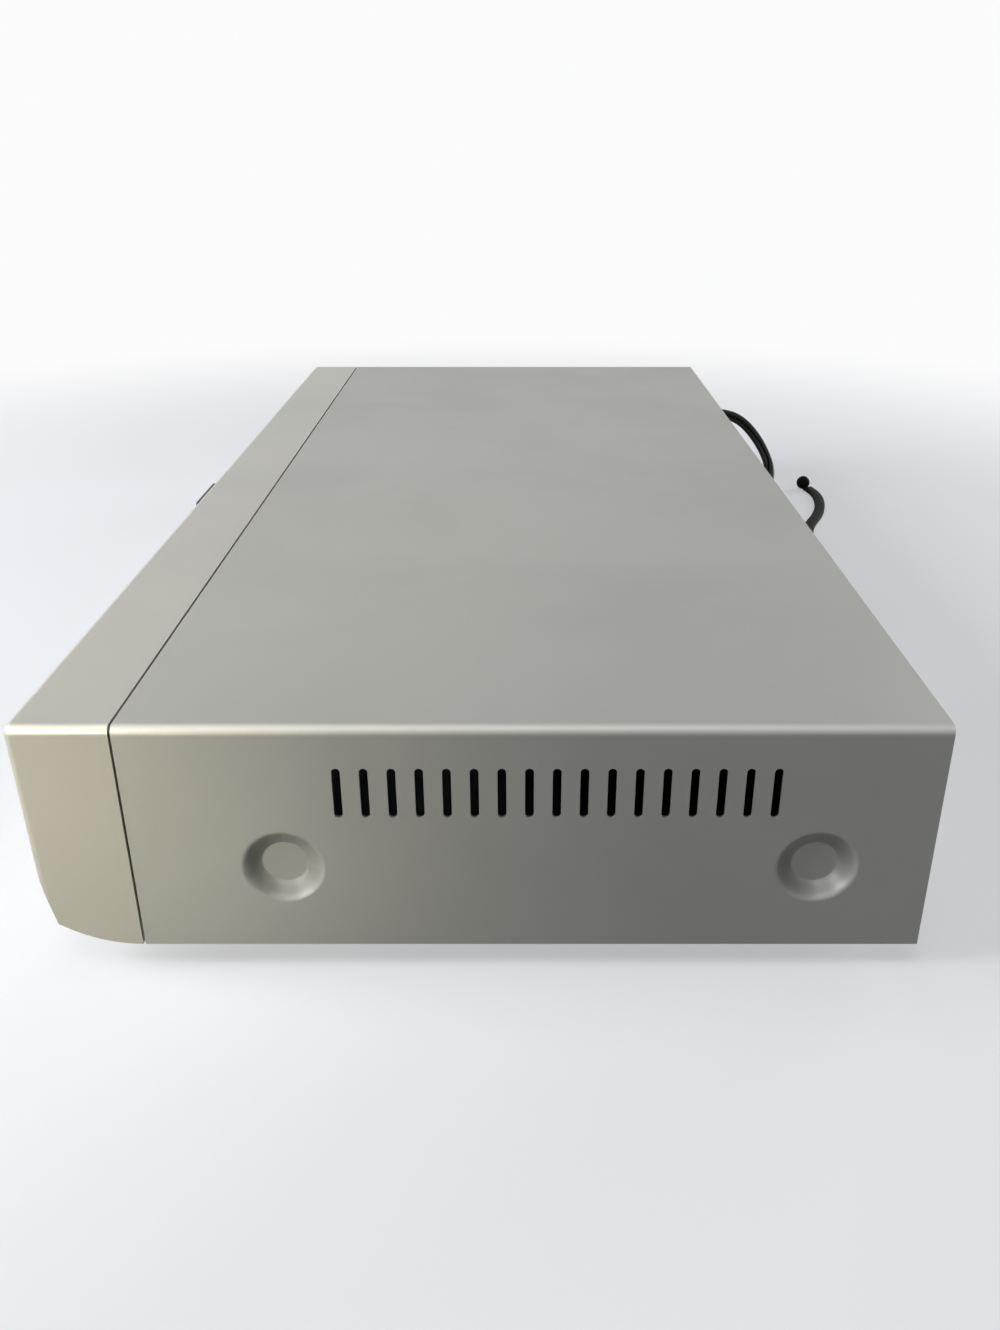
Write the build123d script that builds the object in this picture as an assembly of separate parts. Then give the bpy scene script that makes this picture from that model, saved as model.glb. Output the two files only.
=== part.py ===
from build123d import *
import math
import os

# A full-width disc player: folded steel cover, moulded front, loader with tray, pickup and boards.
# X runs along the width, +Y to the rear, +Z up. The origin is the middle of the footprint, on the table.

# Case
case_width = 430.0
cover_depth = 188.0
cover_height = 59.6
foot_height = 7.0
sheet = 0.8
bend_radius = 2.0
seam_gap = 0.6
hem_fit = 0.15
lip_height = 10.0

# Vents and dimples of the cover's sides
slot_count = 17
slot_pitch = 6.25
slot_length = 13.0
slot_width = 2.0
slot_mid_from_rear = 88.1
slot_mid_from_top = 17.0
dimple_rim = 9.6
dimple_floor = 5.45
dimple_depth = 2.5
dimple_wall_grow = 0.6
dimple_rim_round = 1.6
dimple_from_top = 37.2
dimple_from_seam = 36.0
dimple_from_rear = 26.8

# Front shell
bezel_depth = 23.6
bezel_wall = 2.4
bezel_top_round = 2.0
lean = 0.65
lean_top = 5.0
kink_from_top = 38.3
chin_from_bottom = 6.0
chin_depth = 19.6
chin_mid_depth = 9.0
chin_mid_from_bottom = 1.2
bezel_fit = 0.25

# Upright screws
screw_radius = 1.5
screw_fit = 0.1
screw_depth = 6.0

# Disc tray
disc_radius = 60.0
tray_front_width = 134.0
tray_front_height = 20.0
tray_front_thick = 3.0
tray_front_from_top = 18.0
tray_edge = 4.5
tray_floor = 2.0
tray_rim = 5.0
well_clear = 1.0
small_well = 41.0
small_well_depth = 1.0
slot_half = 19.0
tray_tail = 91.0
tray_z = 42.0
rack_drop = 2.8

# Loader
loader_from_end = 142.0
rack_inset = 6.0
spindle_back = 75.0
frame_wall = 2.5
frame_gap = 0.5
frame_z = 33.0
frame_floor = 2.5
frame_top = 56.0
ledge_width = 3.5
run_gap = 0.2
gear_module = 1.0
drive_teeth = 24
small_teeth = 12
gear_thick = 2.2
gear_back = 24.0
tooth_play = 0.15
pulley_radius = 12.0
motor_pulley_radius = 4.0
belt_size = 1.2
belt_groove = 1.0
pulley_gap = 39.0

# Traverse, at its lowered rest position
lift = 5.0
cam_travel = 14.0
traverse_z = 29.0
traverse_sheet = 2.0
seat_z = 41.0
table_radius = 14.0
rod_offset = 22.0
rod_radius = 1.5
rod_z = 33.0
pickup_travel = 36.0
pickup_inner = 24.0
shaft_radius = 0.75
shaft_play = 0.05

# Clamp
bridge_sheet = 1.0
puck_radius = 12.5
puck_flange = 16.0
puck_bottom = 48.8

# Front controls
control_from_tray = 9.0
control_width = 36.0
control_corner = 4.8
control_round = 0.7
channel_depth = 0.6
control_height = 20.0
control_from_top = 4.0
control_proud = 3.2
pad_width = 26.0
pad_proud = 3.8
pad_corner = 1.5
pad_round = 0.9
pad_gap = 0.4
button_proud = 0.5
button_travel = 0.8
flange = 1.2
flange_seat = 0.1
flange_edge = 1.0
row_z = 34.0
row_button = (14.0, 5.0)
end_button_from_end = 28.0

# Display
window_from_control = 13.0
window_from_end = 55.0
window_from_top = (8.0, 26.0)

# Boards
board = 1.6
front_board_back = 10.0
main_board_width = 138.0
main_board_gap = 16.5
main_board_overlap = 60.9
post_inset = 6.0

# Rear
panel_sheet = 0.8
panel_inset = 1.0
panel_fit = 0.3
jack_out = 8.5
jack_radius = 4.15
jack_hole = 4.5
lead_from_end = 25.0
lead_from_top = 21.2

# Mains lead
cord_width = 5.4
cord_thick = 3.4
boot_length = 12.0
boot_inside = 4.5
collar = 2.0
hank_from_lead = 132.0
hank_back = 22.8
hank_run = 95.0
hank_inner = 12.0
lane = 4.3
layer = 5.9
strap = 2.0
strap_fit = 0.3
bead_radius = 3.7

# Places worked out from the sizes
half_width = case_width / 2
base_z = foot_height
top_z = foot_height + cover_height
total_depth = pad_proud + bezel_depth + cover_depth + jack_out
front_y = pad_proud - total_depth / 2
seam_y = front_y + bezel_depth
rear_y = seam_y + cover_depth
panel_front = rear_y - panel_inset - panel_sheet
panel_back = rear_y - panel_inset
spindle_y = front_y + spindle_back
pan_half = half_width - sheet - dimple_depth - 0.05
pan_sheet = 0.8
tray_width = 2 * (disc_radius + well_clear + tray_edge)
loader_x = -half_width + loader_from_end
frame_in = tray_width / 2 + frame_gap
frame_out = frame_in + frame_wall
frame_front = front_y + 7.0
frame_rear = spindle_y + tray_tail + 2.5
pitch_line = loader_x - tray_width / 2 + rack_inset
drive_radius = drive_teeth * gear_module / 2
small_radius = small_teeth * gear_module / 2
gear_y = front_y + gear_back
drive_x = pitch_line + drive_radius
pulley_x = drive_x + drive_radius + small_radius
motor_x = pulley_x + pulley_gap
gear_z = tray_z - 0.4 - gear_thick
deck_z = frame_z + frame_floor
pulley_z = deck_z + 0.3
pulley_thick = gear_z - pulley_z - 0.3
front_board_y = front_y + front_board_back
frame_ledge = 4.3
cover_screw_x = (-half_width + 65.0, 0.0, half_width - 65.0)
cover_screw_z = top_z - 5.5
foot_places = [
    (x, y) for x in (-half_width + 48, half_width - 48) for y in (seam_y + 24, rear_y - 30)
]
main_left = loader_x + frame_out + main_board_gap
main_right = main_left + main_board_width
main_front = frame_rear - main_board_overlap
main_posts = [
    (x, y) for x in (main_left + post_inset, main_right - post_inset)
    for y in (main_front + post_inset, rear_y - 14)
]
power_left = -half_width + 7.0
power_right = power_left + 56.0
power_front = seam_y + 16.0
power_posts = [
    (x, y) for x in (power_left + post_inset, power_right - post_inset)
    for y in (power_front + post_inset, rear_y - 14)
]
loader_posts = [
    (loader_x + side * (frame_out + 4.0), y)
    for side in (-1, 1)
    for y in (seam_y + 8.0, frame_rear - 8.0)
]
main_board_z = 20.0
power_board_z = 16.0
grommet = 2.5
jack_places = [(main_left + x, z) for x in (40.0, 55.0, 70.0) for z in (28.0, 44.0)]
video_place = (main_left + 92.0, 36.0)
digital_place = (main_left + 116.0, 36.0)
lead_x = -half_width + lead_from_end
lead_z = top_z - lead_from_top
control_x = loader_x + tray_front_width / 2 + control_from_tray + control_width / 2
window_x = (control_x + control_width / 2 + window_from_control, half_width - window_from_end)
row_pitch = (window_x[1] - window_x[0]) / 4
buttons = {
    "power_button": (half_width - end_button_from_end, 50.0, 16.0, 9.0),
    "open_button": (half_width - end_button_from_end, row_z, 16.0, 6.0),
    "stop_button": (window_x[0] + 0.5 * row_pitch, row_z, *row_button),
    "pause_button": (window_x[0] + 1.5 * row_pitch, row_z, *row_button),
    "back_button": (window_x[0] + 2.5 * row_pitch, row_z, *row_button),
    "forward_button": (window_x[0] + 3.5 * row_pitch, row_z, *row_button),
}
board_post_z = (31.0, top_z - 6.6)
board_posts = [(control_x - 13.0, board_post_z[0]), (control_x + 25.0, board_post_z[1])]
board_posts += [(x, z) for x in (window_x[1] + 11.0, half_width - 13.0) for z in board_post_z]
front_board_x = (control_x - 19.0, half_width - 8.0)
control_z = top_z - control_from_top - control_height / 2
tray_front_z = top_z - tray_front_from_top
stem_end = front_board_y - 4.0
guide_x = (loader_x - 30.0, loader_x + 30.0)
guide_y = spindle_y + 71.5
pin_radius = 1.4
pin_z = traverse_z + traverse_sheet / 2
plate_y = (spindle_y - 17.0, spindle_y + 75.0)
sled_x = loader_x + 33.0
sled_y = spindle_y + 30.0
sled_gear_z = traverse_z + traverse_sheet + 1.0
pickup_y = spindle_y + pickup_inner
pickup_top = seat_z - 2.5


def block(x0, x1, y0, y1, z0, z1):
    """A box given by its six faces."""
    return Pos((x0 + x1) / 2, (y0 + y1) / 2, (z0 + z1) / 2) * Box(x1 - x0, y1 - y0, z1 - z0)


def post(x, y, z0, z1, radius):
    """An upright cylinder."""
    return Pos(x, y, (z0 + z1) / 2) * Cylinder(radius, z1 - z0)


def rod_y(x, z, y0, y1, radius):
    """A cylinder along Y."""
    return Pos(x, (y0 + y1) / 2, z) * Rot(90, 0, 0) * Cylinder(radius, y1 - y0)


def wall_y(z):
    """The front shell's outer face at a height, between its top and its kink."""
    drop = top_z - lean_top - z
    return front_y + max(0.0, drop) * lean / (kink_from_top - lean_top)


# Cover and chassis


def dimple(side, y, z, outer):
    """The pressed dimple's outer body, or its hollow, on one side of the cover."""
    depth = dimple_depth + (sheet if outer else 0)
    grow = dimple_wall_grow if outer else 0
    cone = Cone(dimple_rim + grow, dimple_floor + grow, depth)
    return Pos(side * (half_width - depth / 2), y, z) * Rot(0, -90 * side, 0) * cone


def top_cover():
    front = seam_y + seam_gap
    outer = block(-half_width, half_width, front, rear_y, base_z, top_z)
    outer = fillet(outer.edges().filter_by(Axis.Y).group_by(Axis.Z)[-1], bend_radius)
    inside = half_width - sheet
    hollow = block(-inside, inside, front - 1, rear_y + 1, base_z - 1, top_z - sheet)
    hollow = fillet(hollow.edges().filter_by(Axis.Y).group_by(Axis.Z)[-1], bend_radius - sheet)
    shell = outer - hollow
    lip = block(-inside, inside, rear_y - sheet, rear_y, top_z - lip_height, top_z - sheet)
    shell = shell + lip
    slot_z = top_z - slot_mid_from_top
    slot_y = rear_y - slot_mid_from_rear
    slot = Rot(0, 90, 0) * extrude(SlotOverall(slot_length, slot_width), amount=2 * sheet, both=True)
    dimple_z = top_z - dimple_from_top
    for side in (-1, 1):
        hem = [side * inside, side * (pan_half + hem_fit)]
        shell = shell + block(min(hem), max(hem), front, rear_y, base_z, base_z + sheet)
        for y in (seam_y + dimple_from_seam, rear_y - dimple_from_rear):
            shell = shell + dimple(side, y, dimple_z, True) - dimple(side, y, dimple_z, False)
        cuts = []
        for i in range(slot_count):
            y = slot_y + (i - (slot_count - 1) / 2) * slot_pitch
            cuts.append(Pos(side * half_width, y, slot_z) * slot)
        shell = shell - cuts
    rims = shell.edges().filter_by(GeomType.CIRCLE)
    rims = rims.filter_by(lambda e: abs(e.radius - dimple_rim) < 0.01)
    shell = fillet(rims, dimple_rim_round)
    for x in cover_screw_x:
        shell = shell - rod_y(x, cover_screw_z, rear_y - 2, rear_y + 1, 1.75)
    return shell


def chassis_pan():
    front = seam_y + 1.2
    rear = panel_front - 0.1
    wall_top = base_z + 30.0
    pan = block(-pan_half, pan_half, front, rear, base_z, base_z + pan_sheet)
    for side in (-1, 1):
        wall = [side * pan_half, side * (pan_half - pan_sheet)]
        pan = pan + block(min(wall), max(wall), front, rear, base_z, wall_top)
    pan = pan + block(-pan_half, pan_half, front, front + pan_sheet, base_z, base_z + 20.0)
    pan = pan + block(-pan_half, pan_half, rear - pan_sheet, rear, base_z, base_z + 8.0)
    notch = loader_x - frame_out - 10.0, loader_x + frame_out + 10.0
    pan = pan - block(notch[0], notch[1], front - 1, front + 2, base_z + 4.0, base_z + 21.0)
    for x, y in main_posts:
        pan = pan + post(x, y, base_z, main_board_z, 3.0) - screw_hole(x, y, main_board_z)
    for x, y in power_posts:
        pan = pan + post(x, y, base_z, power_board_z, 3.0) - screw_hole(x, y, power_board_z)
    for x, y in loader_posts:
        pan = pan + post(x, y, base_z, frame_z - grommet, 3.5) - screw_hole(x, y, frame_z - grommet)
    vent = extrude(SlotOverall(22.0, 3.0), amount=2.0, both=True)
    for row in (0, 1):
        for i in range(8):
            place = Pos(main_left + 33.0 + i * 9.0, seam_y + 44.5 + row * 32.0, base_z)
            pan = pan - place * Rot(0, 0, 90) * vent
    for x, y in foot_places:
        pan = pan - post(x, y, base_z - 1, base_z + 2, 2.0)
    return pan


def rear_panel():
    half = half_width - sheet - panel_fit
    top = top_z - sheet - panel_fit
    panel = block(-half, half, panel_front, panel_back, base_z + sheet + panel_fit, top)
    for x, z in jack_places + [digital_place]:
        panel = panel - rod_y(x, z, panel_front - 1, panel_back + 1, jack_hole)
    panel = panel - rod_y(*video_place, panel_front - 1, panel_back + 1, 6.8)
    panel = panel - rod_y(lead_x, lead_z, panel_front - 1, panel_back + 1, 4.6)
    for x in cover_screw_x:
        panel = panel - rod_y(x, cover_screw_z, panel_front - 1, panel_back + 1, 1.3)
    vent = extrude(SlotOverall(16.0, 2.5), amount=2.0, both=True)
    for i in range(10):
        place = Pos(lead_x + 30.0 + i * 7.0, panel_front, 40.0)
        panel = panel - place * Rot(0, 90, 0) * Rot(90, 0, 0) * vent
    return panel


def feet():
    return [
        post(x, y, 1.5, base_z, 12.0) + post(x, y, base_z - 0.5, base_z + 1.6, 1.9)
        for x, y in foot_places
    ]


def foot_pads():
    return [post(x, y, 0.0, 1.5, 10.5) for x, y in foot_places]


# Front shell and its controls


def shell_profile(inset):
    """The front shell's side outline, moved inwards by the inset, as a face on the YZ plane."""
    def at(back, down):
        return (0, seam_y - back, top_z - down)
    top = inset
    face = bezel_depth - inset
    low = bezel_depth - lean - inset
    chin = chin_depth - inset
    rear = -1.0 if inset else 0.0
    mid_down = cover_height - chin_mid_from_bottom
    round_r = max(bezel_top_round - inset, 0.3)
    kink = kink_from_top
    chin_down = cover_height - chin_from_bottom - inset * 0.6
    quarter = round_r * (1 - math.sqrt(0.5))
    edges = [
        Line(at(rear, top), at(face - round_r, top)),
        ThreePointArc(
            at(face - round_r, top), at(face - quarter, top + quarter), at(face, top + round_r)
        ),
        Line(at(face, top + round_r), at(face, lean_top + inset)),
        Line(at(face, lean_top + inset), at(low, kink)),
        Line(at(low, kink), at(chin, chin_down)),
        ThreePointArc(
            at(chin, chin_down), at(chin_mid_depth, mid_down - inset), at(rear, cover_height - inset)
        ),
        Line(at(rear, cover_height - inset), at(rear, top)),
    ]
    return make_face(edges)


def front_bezel():
    outer = Pos(-half_width, 0, 0) * extrude(shell_profile(0), amount=case_width, dir=(1, 0, 0))
    ends = outer.edges().filter_by(Axis.Y).group_by(Axis.Z)[-1]
    outer = fillet(ends.filter_by(lambda e: abs(abs(e.center().X) - half_width) < 0.1), bend_radius)
    inner_width = case_width - 2 * bezel_wall
    inner = Pos(-inner_width / 2, 0, 0) * extrude(
        shell_profile(bezel_wall), amount=inner_width, dir=(1, 0, 0)
    )
    shell = outer - inner
    inner_y = front_y + bezel_wall
    for x, z in board_posts:
        shell = shell + rod_y(x, z, inner_y - 1.0, front_board_y, 2.5)
    reach = (front_y - 5, front_y + bezel_wall + 3)
    half = tray_front_width / 2 + bezel_fit
    z0 = tray_front_z - tray_front_height / 2 - bezel_fit
    z1 = tray_front_z + tray_front_height / 2 + bezel_fit
    shell = shell - block(loader_x - half, loader_x + half, *reach, z0, z1)
    window_z = (top_z - window_from_top[1] - bezel_fit, top_z - window_from_top[0] + bezel_fit)
    shell = shell - block(window_x[0] - bezel_fit, window_x[1] + bezel_fit, *reach, *window_z)
    for x, z, width, height in buttons.values():
        w = width / 2 + bezel_fit
        h = height / 2 + bezel_fit
        shell = shell - block(x - w, x + w, *reach, z - h, z + h)
    opening = RectangleRounded(
        control_width + 2 * bezel_fit, control_height + 2 * bezel_fit, control_corner + bezel_fit
    )
    cutter = extrude(Rot(90, 0, 0) * opening, amount=12.0, both=True)
    return shell - Pos(control_x, front_y, control_z) * cutter


def display_window():
    y = wall_y(top_z - window_from_top[1]) + 0.1
    z0 = top_z - window_from_top[1]
    z1 = top_z - window_from_top[0]
    pane = block(window_x[0], window_x[1], y, y + bezel_wall, z0, z1)
    rim = block(
        window_x[0] - 2, window_x[1] + 2, y + bezel_wall, y + bezel_wall + 1.0, z0 - 1.5, z1 + 1.5
    )
    return pane + rim


def display_tube():
    z0 = top_z - window_from_top[1] + 2.9
    z1 = top_z - window_from_top[0] - 1.6
    return block(window_x[0] + 10, window_x[1] - 10, front_y + 5.4, front_board_y, z0, z1)


def front_board():
    return block(*front_board_x, front_board_y, front_board_y + board, base_z + 6.0, top_z - 3.6)


def switch_places():
    """The switches behind the buttons: x, z and the place of the button's stem end."""
    places = [(x, z) for x, z, _, _ in buttons.values()]
    return places + [(control_x, control_z)]


def tact_switches():
    made = []
    for x, z in switch_places():
        body = block(x - 3, x + 3, front_board_y - 2.2, front_board_y, z - 3, z + 3)
        made.append(body + rod_y(x, z, front_board_y - 3.0, front_board_y - 2.2, 1.7))
    return made


def push_button(x, z, width, height):
    """A cap in the shell's opening, a flange behind it and a stem to its switch."""
    front = wall_y(z) - button_proud
    seat = wall_y(z - height / 2 - flange_edge) + bezel_wall + flange_seat
    w = width / 2
    h = height / 2
    cap = block(x - w, x + w, front, seat + 0.1, z - h, z + h)
    cap = fillet(cap.edges().group_by(Axis.Y)[0], 0.4)
    w += flange_edge
    h += flange_edge
    back = block(x - w, x + w, seat, seat + flange, z - h, z + h)
    stem = rod_y(x, z, seat + flange - 0.1, stem_end, 2.0)
    return cap + back + stem


def rounded_block(x, z, width, height, radius, y0, y1):
    """A prism along Y with rounded corners."""
    face = Rot(90, 0, 0) * RectangleRounded(width, height, radius)
    return Pos(x, y1, z) * extrude(face, amount=y1 - y0, dir=(0, -1, 0))


control_seat = wall_y(top_z - control_from_top - control_height) + bezel_wall + flange_seat


def control_frame():
    front = front_y - control_proud
    bar = rounded_block(
        control_x, control_z, control_width, control_height, control_corner, front, control_seat
    )
    back = rounded_block(
        control_x, control_z, control_width + 3 * flange_edge, control_height + 2 * flange_edge,
        control_corner, control_seat, control_seat + flange,
    )
    half = pad_width / 2 + pad_gap
    channel = block(
        control_x - half, control_x + half, front - 1, front_y + channel_depth,
        control_z - control_height, control_z + control_height,
    )
    frame = bar - channel
    frame = fillet(frame.faces().sort_by(Axis.Y)[0:2].edges(), control_round)
    return frame + back - rod_y(control_x, control_z, front, control_seat + 3, 3.2)


def play_pad():
    front = front_y - pad_proud
    pad = rounded_block(
        control_x, control_z, pad_width, control_height + 2 * pad_gap, pad_corner, front, front_y - 1.0
    )
    pad = fillet(pad.edges().group_by(Axis.Y)[0], pad_round)
    stem = rod_y(control_x, control_z, front_y - 1.1, stem_end, 3.0)
    stop = rod_y(control_x, control_z, control_seat + flange + flange_seat, stem_end, 4.5)
    return pad + stem + stop


# Disc tray and its drive


def tray_front():
    half = tray_front_width / 2
    y = wall_y(tray_front_z - tray_front_height / 2)
    z0 = tray_front_z - tray_front_height / 2
    z1 = tray_front_z + tray_front_height / 2
    flap = block(loader_x - half, loader_x + half, y, y + tray_front_thick, z0, z1)
    return fillet(flap.edges().group_by(Axis.Y)[0], 0.6)


def rack_outline(pitch_x, low_y, high_y, base, mate_y):
    """A rack with teeth pointing to +X, one tooth centred on its mate."""
    pitch = math.pi * gear_module
    tip = pitch_x + 0.85 * gear_module
    root = pitch_x - 1.15 * gear_module
    half_tip = pitch / 4 - tooth_play - 0.85 * gear_module * math.tan(math.radians(20))
    half_root = pitch / 4 - tooth_play + 1.15 * gear_module * math.tan(math.radians(20))
    first = math.ceil((low_y + half_root + 0.1 - mate_y) / pitch)
    last = math.floor((high_y - half_root - 0.1 - mate_y) / pitch)
    points = [(base, low_y), (root, low_y)]
    for k in range(first, last + 1):
        y = mate_y + k * pitch
        points += [(root, y - half_root), (tip, y - half_tip), (tip, y + half_tip), (root, y + half_root)]
    return points + [(root, high_y), (base, high_y)]


def gear(teeth, thick, turn):
    """A flat spur gear about Z from z = 0, with a gap at the angle turn."""
    pitch_r = teeth * gear_module / 2
    tip_r = pitch_r + 0.85 * gear_module
    root_r = pitch_r - 1.15 * gear_module
    tan = math.tan(math.radians(20))
    half_tip = math.pi * gear_module / 4 - tooth_play - 0.85 * gear_module * tan
    half_root = math.pi * gear_module / 4 - tooth_play + 1.15 * gear_module * tan
    points = []
    for i in range(teeth):
        middle = math.radians(turn) + (i + 0.5) * 2 * math.pi / teeth
        for radius, offset in (
            (root_r, -half_root), (tip_r, -half_tip), (tip_r, half_tip), (root_r, half_root)
        ):
            angle = middle + offset / radius
            points.append((radius * math.cos(angle), radius * math.sin(angle)))
    return extrude(make_face(Polyline(points, close=True)), amount=thick)


def disc_tray():
    back = wall_y(tray_front_z - tray_front_height / 2) + tray_front_thick
    rear = spindle_y + tray_tail
    half = tray_width / 2
    body = block(loader_x - half, loader_x + half, back, rear, tray_z, tray_z + tray_rim)
    body = body - post(
        loader_x, spindle_y, tray_z + tray_floor, tray_z + tray_rim + 1, disc_radius + well_clear
    )
    body = body - post(
        loader_x, spindle_y, tray_z + tray_floor - small_well_depth, tray_z + tray_rim, small_well
    )
    slot = block(
        loader_x - slot_half, loader_x + slot_half, spindle_y, rear + 1, tray_z - 1, tray_z + tray_rim + 1
    )
    slot = slot + post(loader_x, spindle_y, tray_z - 1, tray_z + tray_rim + 1, slot_half)
    body = body - slot
    rail_low = deck_z + frame_ledge + run_gap
    for side in (-1, 1):
        rail = [loader_x + side * half, loader_x + side * (half - ledge_width + 0.5)]
        body = body + block(min(rail), max(rail), back, rear, rail_low, tray_z + 1)
    rack = rack_outline(pitch_line, back + 3.0, rear, pitch_line - 2.6, gear_y)
    return body + Pos(0, 0, tray_z - rack_drop) * extrude(
        make_face(Polyline(rack, close=True)), amount=rack_drop + 0.5
    )


def traverse_opening():
    return (loader_x - 40.5, loader_x + 46.5, spindle_y - 28.5, spindle_y + 78.5)


def loader_frame():
    left = loader_x - frame_out
    right = loader_x + frame_out
    frame = block(left, right, frame_front, frame_rear, frame_z, deck_z)
    x0, x1, y0, y1 = traverse_opening()
    frame = frame - block(x0, x1, y0, y1, frame_z - 1, deck_z + 1)
    for side in (-1, 1):
        wall = [loader_x + side * frame_in, loader_x + side * frame_out]
        frame = frame + block(min(wall), max(wall), frame_front, frame_rear, frame_z, frame_top)
        ledge = [loader_x + side * frame_in, loader_x + side * (frame_in - ledge_width)]
        frame = frame + block(
            min(ledge), max(ledge), frame_front, frame_rear, deck_z, deck_z + frame_ledge
        )
    frame = frame + block(left, right, frame_rear - 2.0, frame_rear, frame_z, tray_z + 4.0)
    for x, y in loader_posts:
        inner = loader_x + math.copysign(frame_in + 1, x - loader_x)
        lug = block(min(x, inner), max(x, inner), y - 4.5, y + 4.5, frame_z, deck_z)
        frame = frame + lug + post(x, y, frame_z, deck_z, 4.5) - screw_hole(x, y, deck_z)
    shelf = block(x0 - 2, x1 + 2, y0 - 2.0, y0 + 8.0, traverse_z - 4.5, traverse_z - 2.3)
    frame = frame + shelf + block(x0 - 2, x1 + 2, y0 - 2.0, y0, traverse_z - 4.5, deck_z)
    rear_shelf = block(x0 - 2, x1 + 2, y1 - 9.0, y1 + 2.0, traverse_z - 7.0, traverse_z - 4.5)
    frame = frame + rear_shelf + block(x0 - 2, x1 + 2, y1, y1 + 2.0, traverse_z - 7.0, deck_z)
    for x in guide_x:
        frame = frame + post(x, guide_y, traverse_z - 5.0, traverse_z - 0.3, 3.5)
        frame = frame + post(x, guide_y, traverse_z - 5.0, traverse_z + 9.0, 1.9)
    for x, radius in ((drive_x, 2.0), (pulley_x, 0)):
        if radius:
            frame = frame + post(x, gear_y, deck_z - 0.5, gear_z + gear_thick, radius)
    frame = frame - post(pulley_x, gear_y, frame_z - 1, deck_z + 1, 2.0 + shaft_play)
    frame = frame - post(motor_x, gear_y, frame_z - 1, deck_z + 1, 3.0)
    return frame


def clamp_bridge():
    half = frame_out - 0.2
    plate = block(
        loader_x - half, loader_x + half, spindle_y - 18, spindle_y + 18, frame_top, frame_top + bridge_sheet
    )
    rib = block(
        loader_x - half + 12, loader_x + half - 12, spindle_y + 17, spindle_y + 18,
        frame_top, frame_top + 4,
    )
    plate = plate + rib - post(loader_x, spindle_y, frame_top - 1, frame_top + 2, puck_radius + 0.7)
    for side in (-1, 1):
        for y in (spindle_y - 12, spindle_y + 12):
            x = loader_x + side * (frame_in + frame_wall / 2)
            plate = plate - post(x, y, frame_top - 1, frame_top + 2, 0.9)
    return plate


def clamp_puck():
    seat = frame_top + bridge_sheet + 0.3
    puck = post(loader_x, spindle_y, puck_bottom, seat, puck_radius)
    puck = puck + post(loader_x, spindle_y, seat, seat + 1.8, puck_flange)
    return puck - post(loader_x, spindle_y, puck_bottom - 1, puck_bottom + 4.0, 8.2)


def drive_gear():
    wheel = gear(drive_teeth, gear_thick, 0)
    wheel = Pos(drive_x, gear_y, gear_z) * wheel + post(drive_x, gear_y, pulley_z, gear_z + 0.2, 4.0)
    return wheel - post(drive_x, gear_y, deck_z - 1, tray_z, 2.0 + shaft_play)


def grooved(x, y, radius):
    """A pulley with a square groove for the belt."""
    wheel = post(x, y, pulley_z, pulley_z + pulley_thick, radius)
    middle = pulley_z + pulley_thick / 2
    cut = post(x, y, middle - belt_size / 2 - 0.2, middle + belt_size / 2 + 0.2, radius + 1)
    return wheel - (cut - post(x, y, middle - 3, middle + 3, radius - belt_groove))


def pulley_gear():
    wheel = Pos(pulley_x, gear_y, gear_z) * gear(small_teeth, gear_thick, 180 / small_teeth)
    wheel = wheel + grooved(pulley_x, gear_y, pulley_radius)
    wheel = wheel + post(pulley_x, gear_y, pulley_z + pulley_thick - 0.1, gear_z + 0.1, 4.5)
    return wheel + post(pulley_x, gear_y, frame_z - 1.0, pulley_z + 0.2, 2.0)


def motor_pulley():
    wheel = grooved(motor_x, gear_y, motor_pulley_radius)
    return wheel - post(motor_x, gear_y, deck_z - 1, tray_z, shaft_radius + shaft_play)


def loading_belt():
    big = pulley_radius - belt_groove + 0.15
    small = motor_pulley_radius - belt_groove + 0.15

    def loop(extra):
        a = Pos(pulley_x, gear_y) * Circle(big + extra)
        b = Pos(motor_x, gear_y) * Circle(small + extra)
        return make_hull((a + b).edges())
    z = pulley_z + (pulley_thick - belt_size) / 2
    return Pos(0, 0, z) * extrude(loop(belt_size) - loop(0), amount=belt_size)


def loading_motor():
    body = post(motor_x, gear_y, frame_z - 19.0, frame_z, 10.5)
    body = body + post(motor_x, gear_y, frame_z - 0.5, deck_z - 0.2, 2.7)
    return body + post(motor_x, gear_y, deck_z - 1, pulley_z + pulley_thick + 0.3, shaft_radius)


def cam_slider():
    y1 = spindle_y - 20.0
    y0 = y1 - 3.5
    z0 = traverse_z - 2.0
    bar = block(loader_x - 26, loader_x + 12, y0, y1, z0, z0 + 12.0)
    slope = math.degrees(math.atan2(lift, cam_travel))
    reach = math.hypot(lift, cam_travel) + 2 * (pin_radius + 0.3)
    slot = extrude(SlotOverall(reach, 2 * pin_radius + 0.6), amount=6, both=True)
    place = Pos(loader_x - cam_travel / 2, (y0 + y1) / 2, pin_z + lift / 2)
    return bar - place * Rot(90, 0, 0) * Rot(0, 0, -slope) * slot


# Traverse: it carries the spindle and the pickup, and lifts them to the disc


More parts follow.
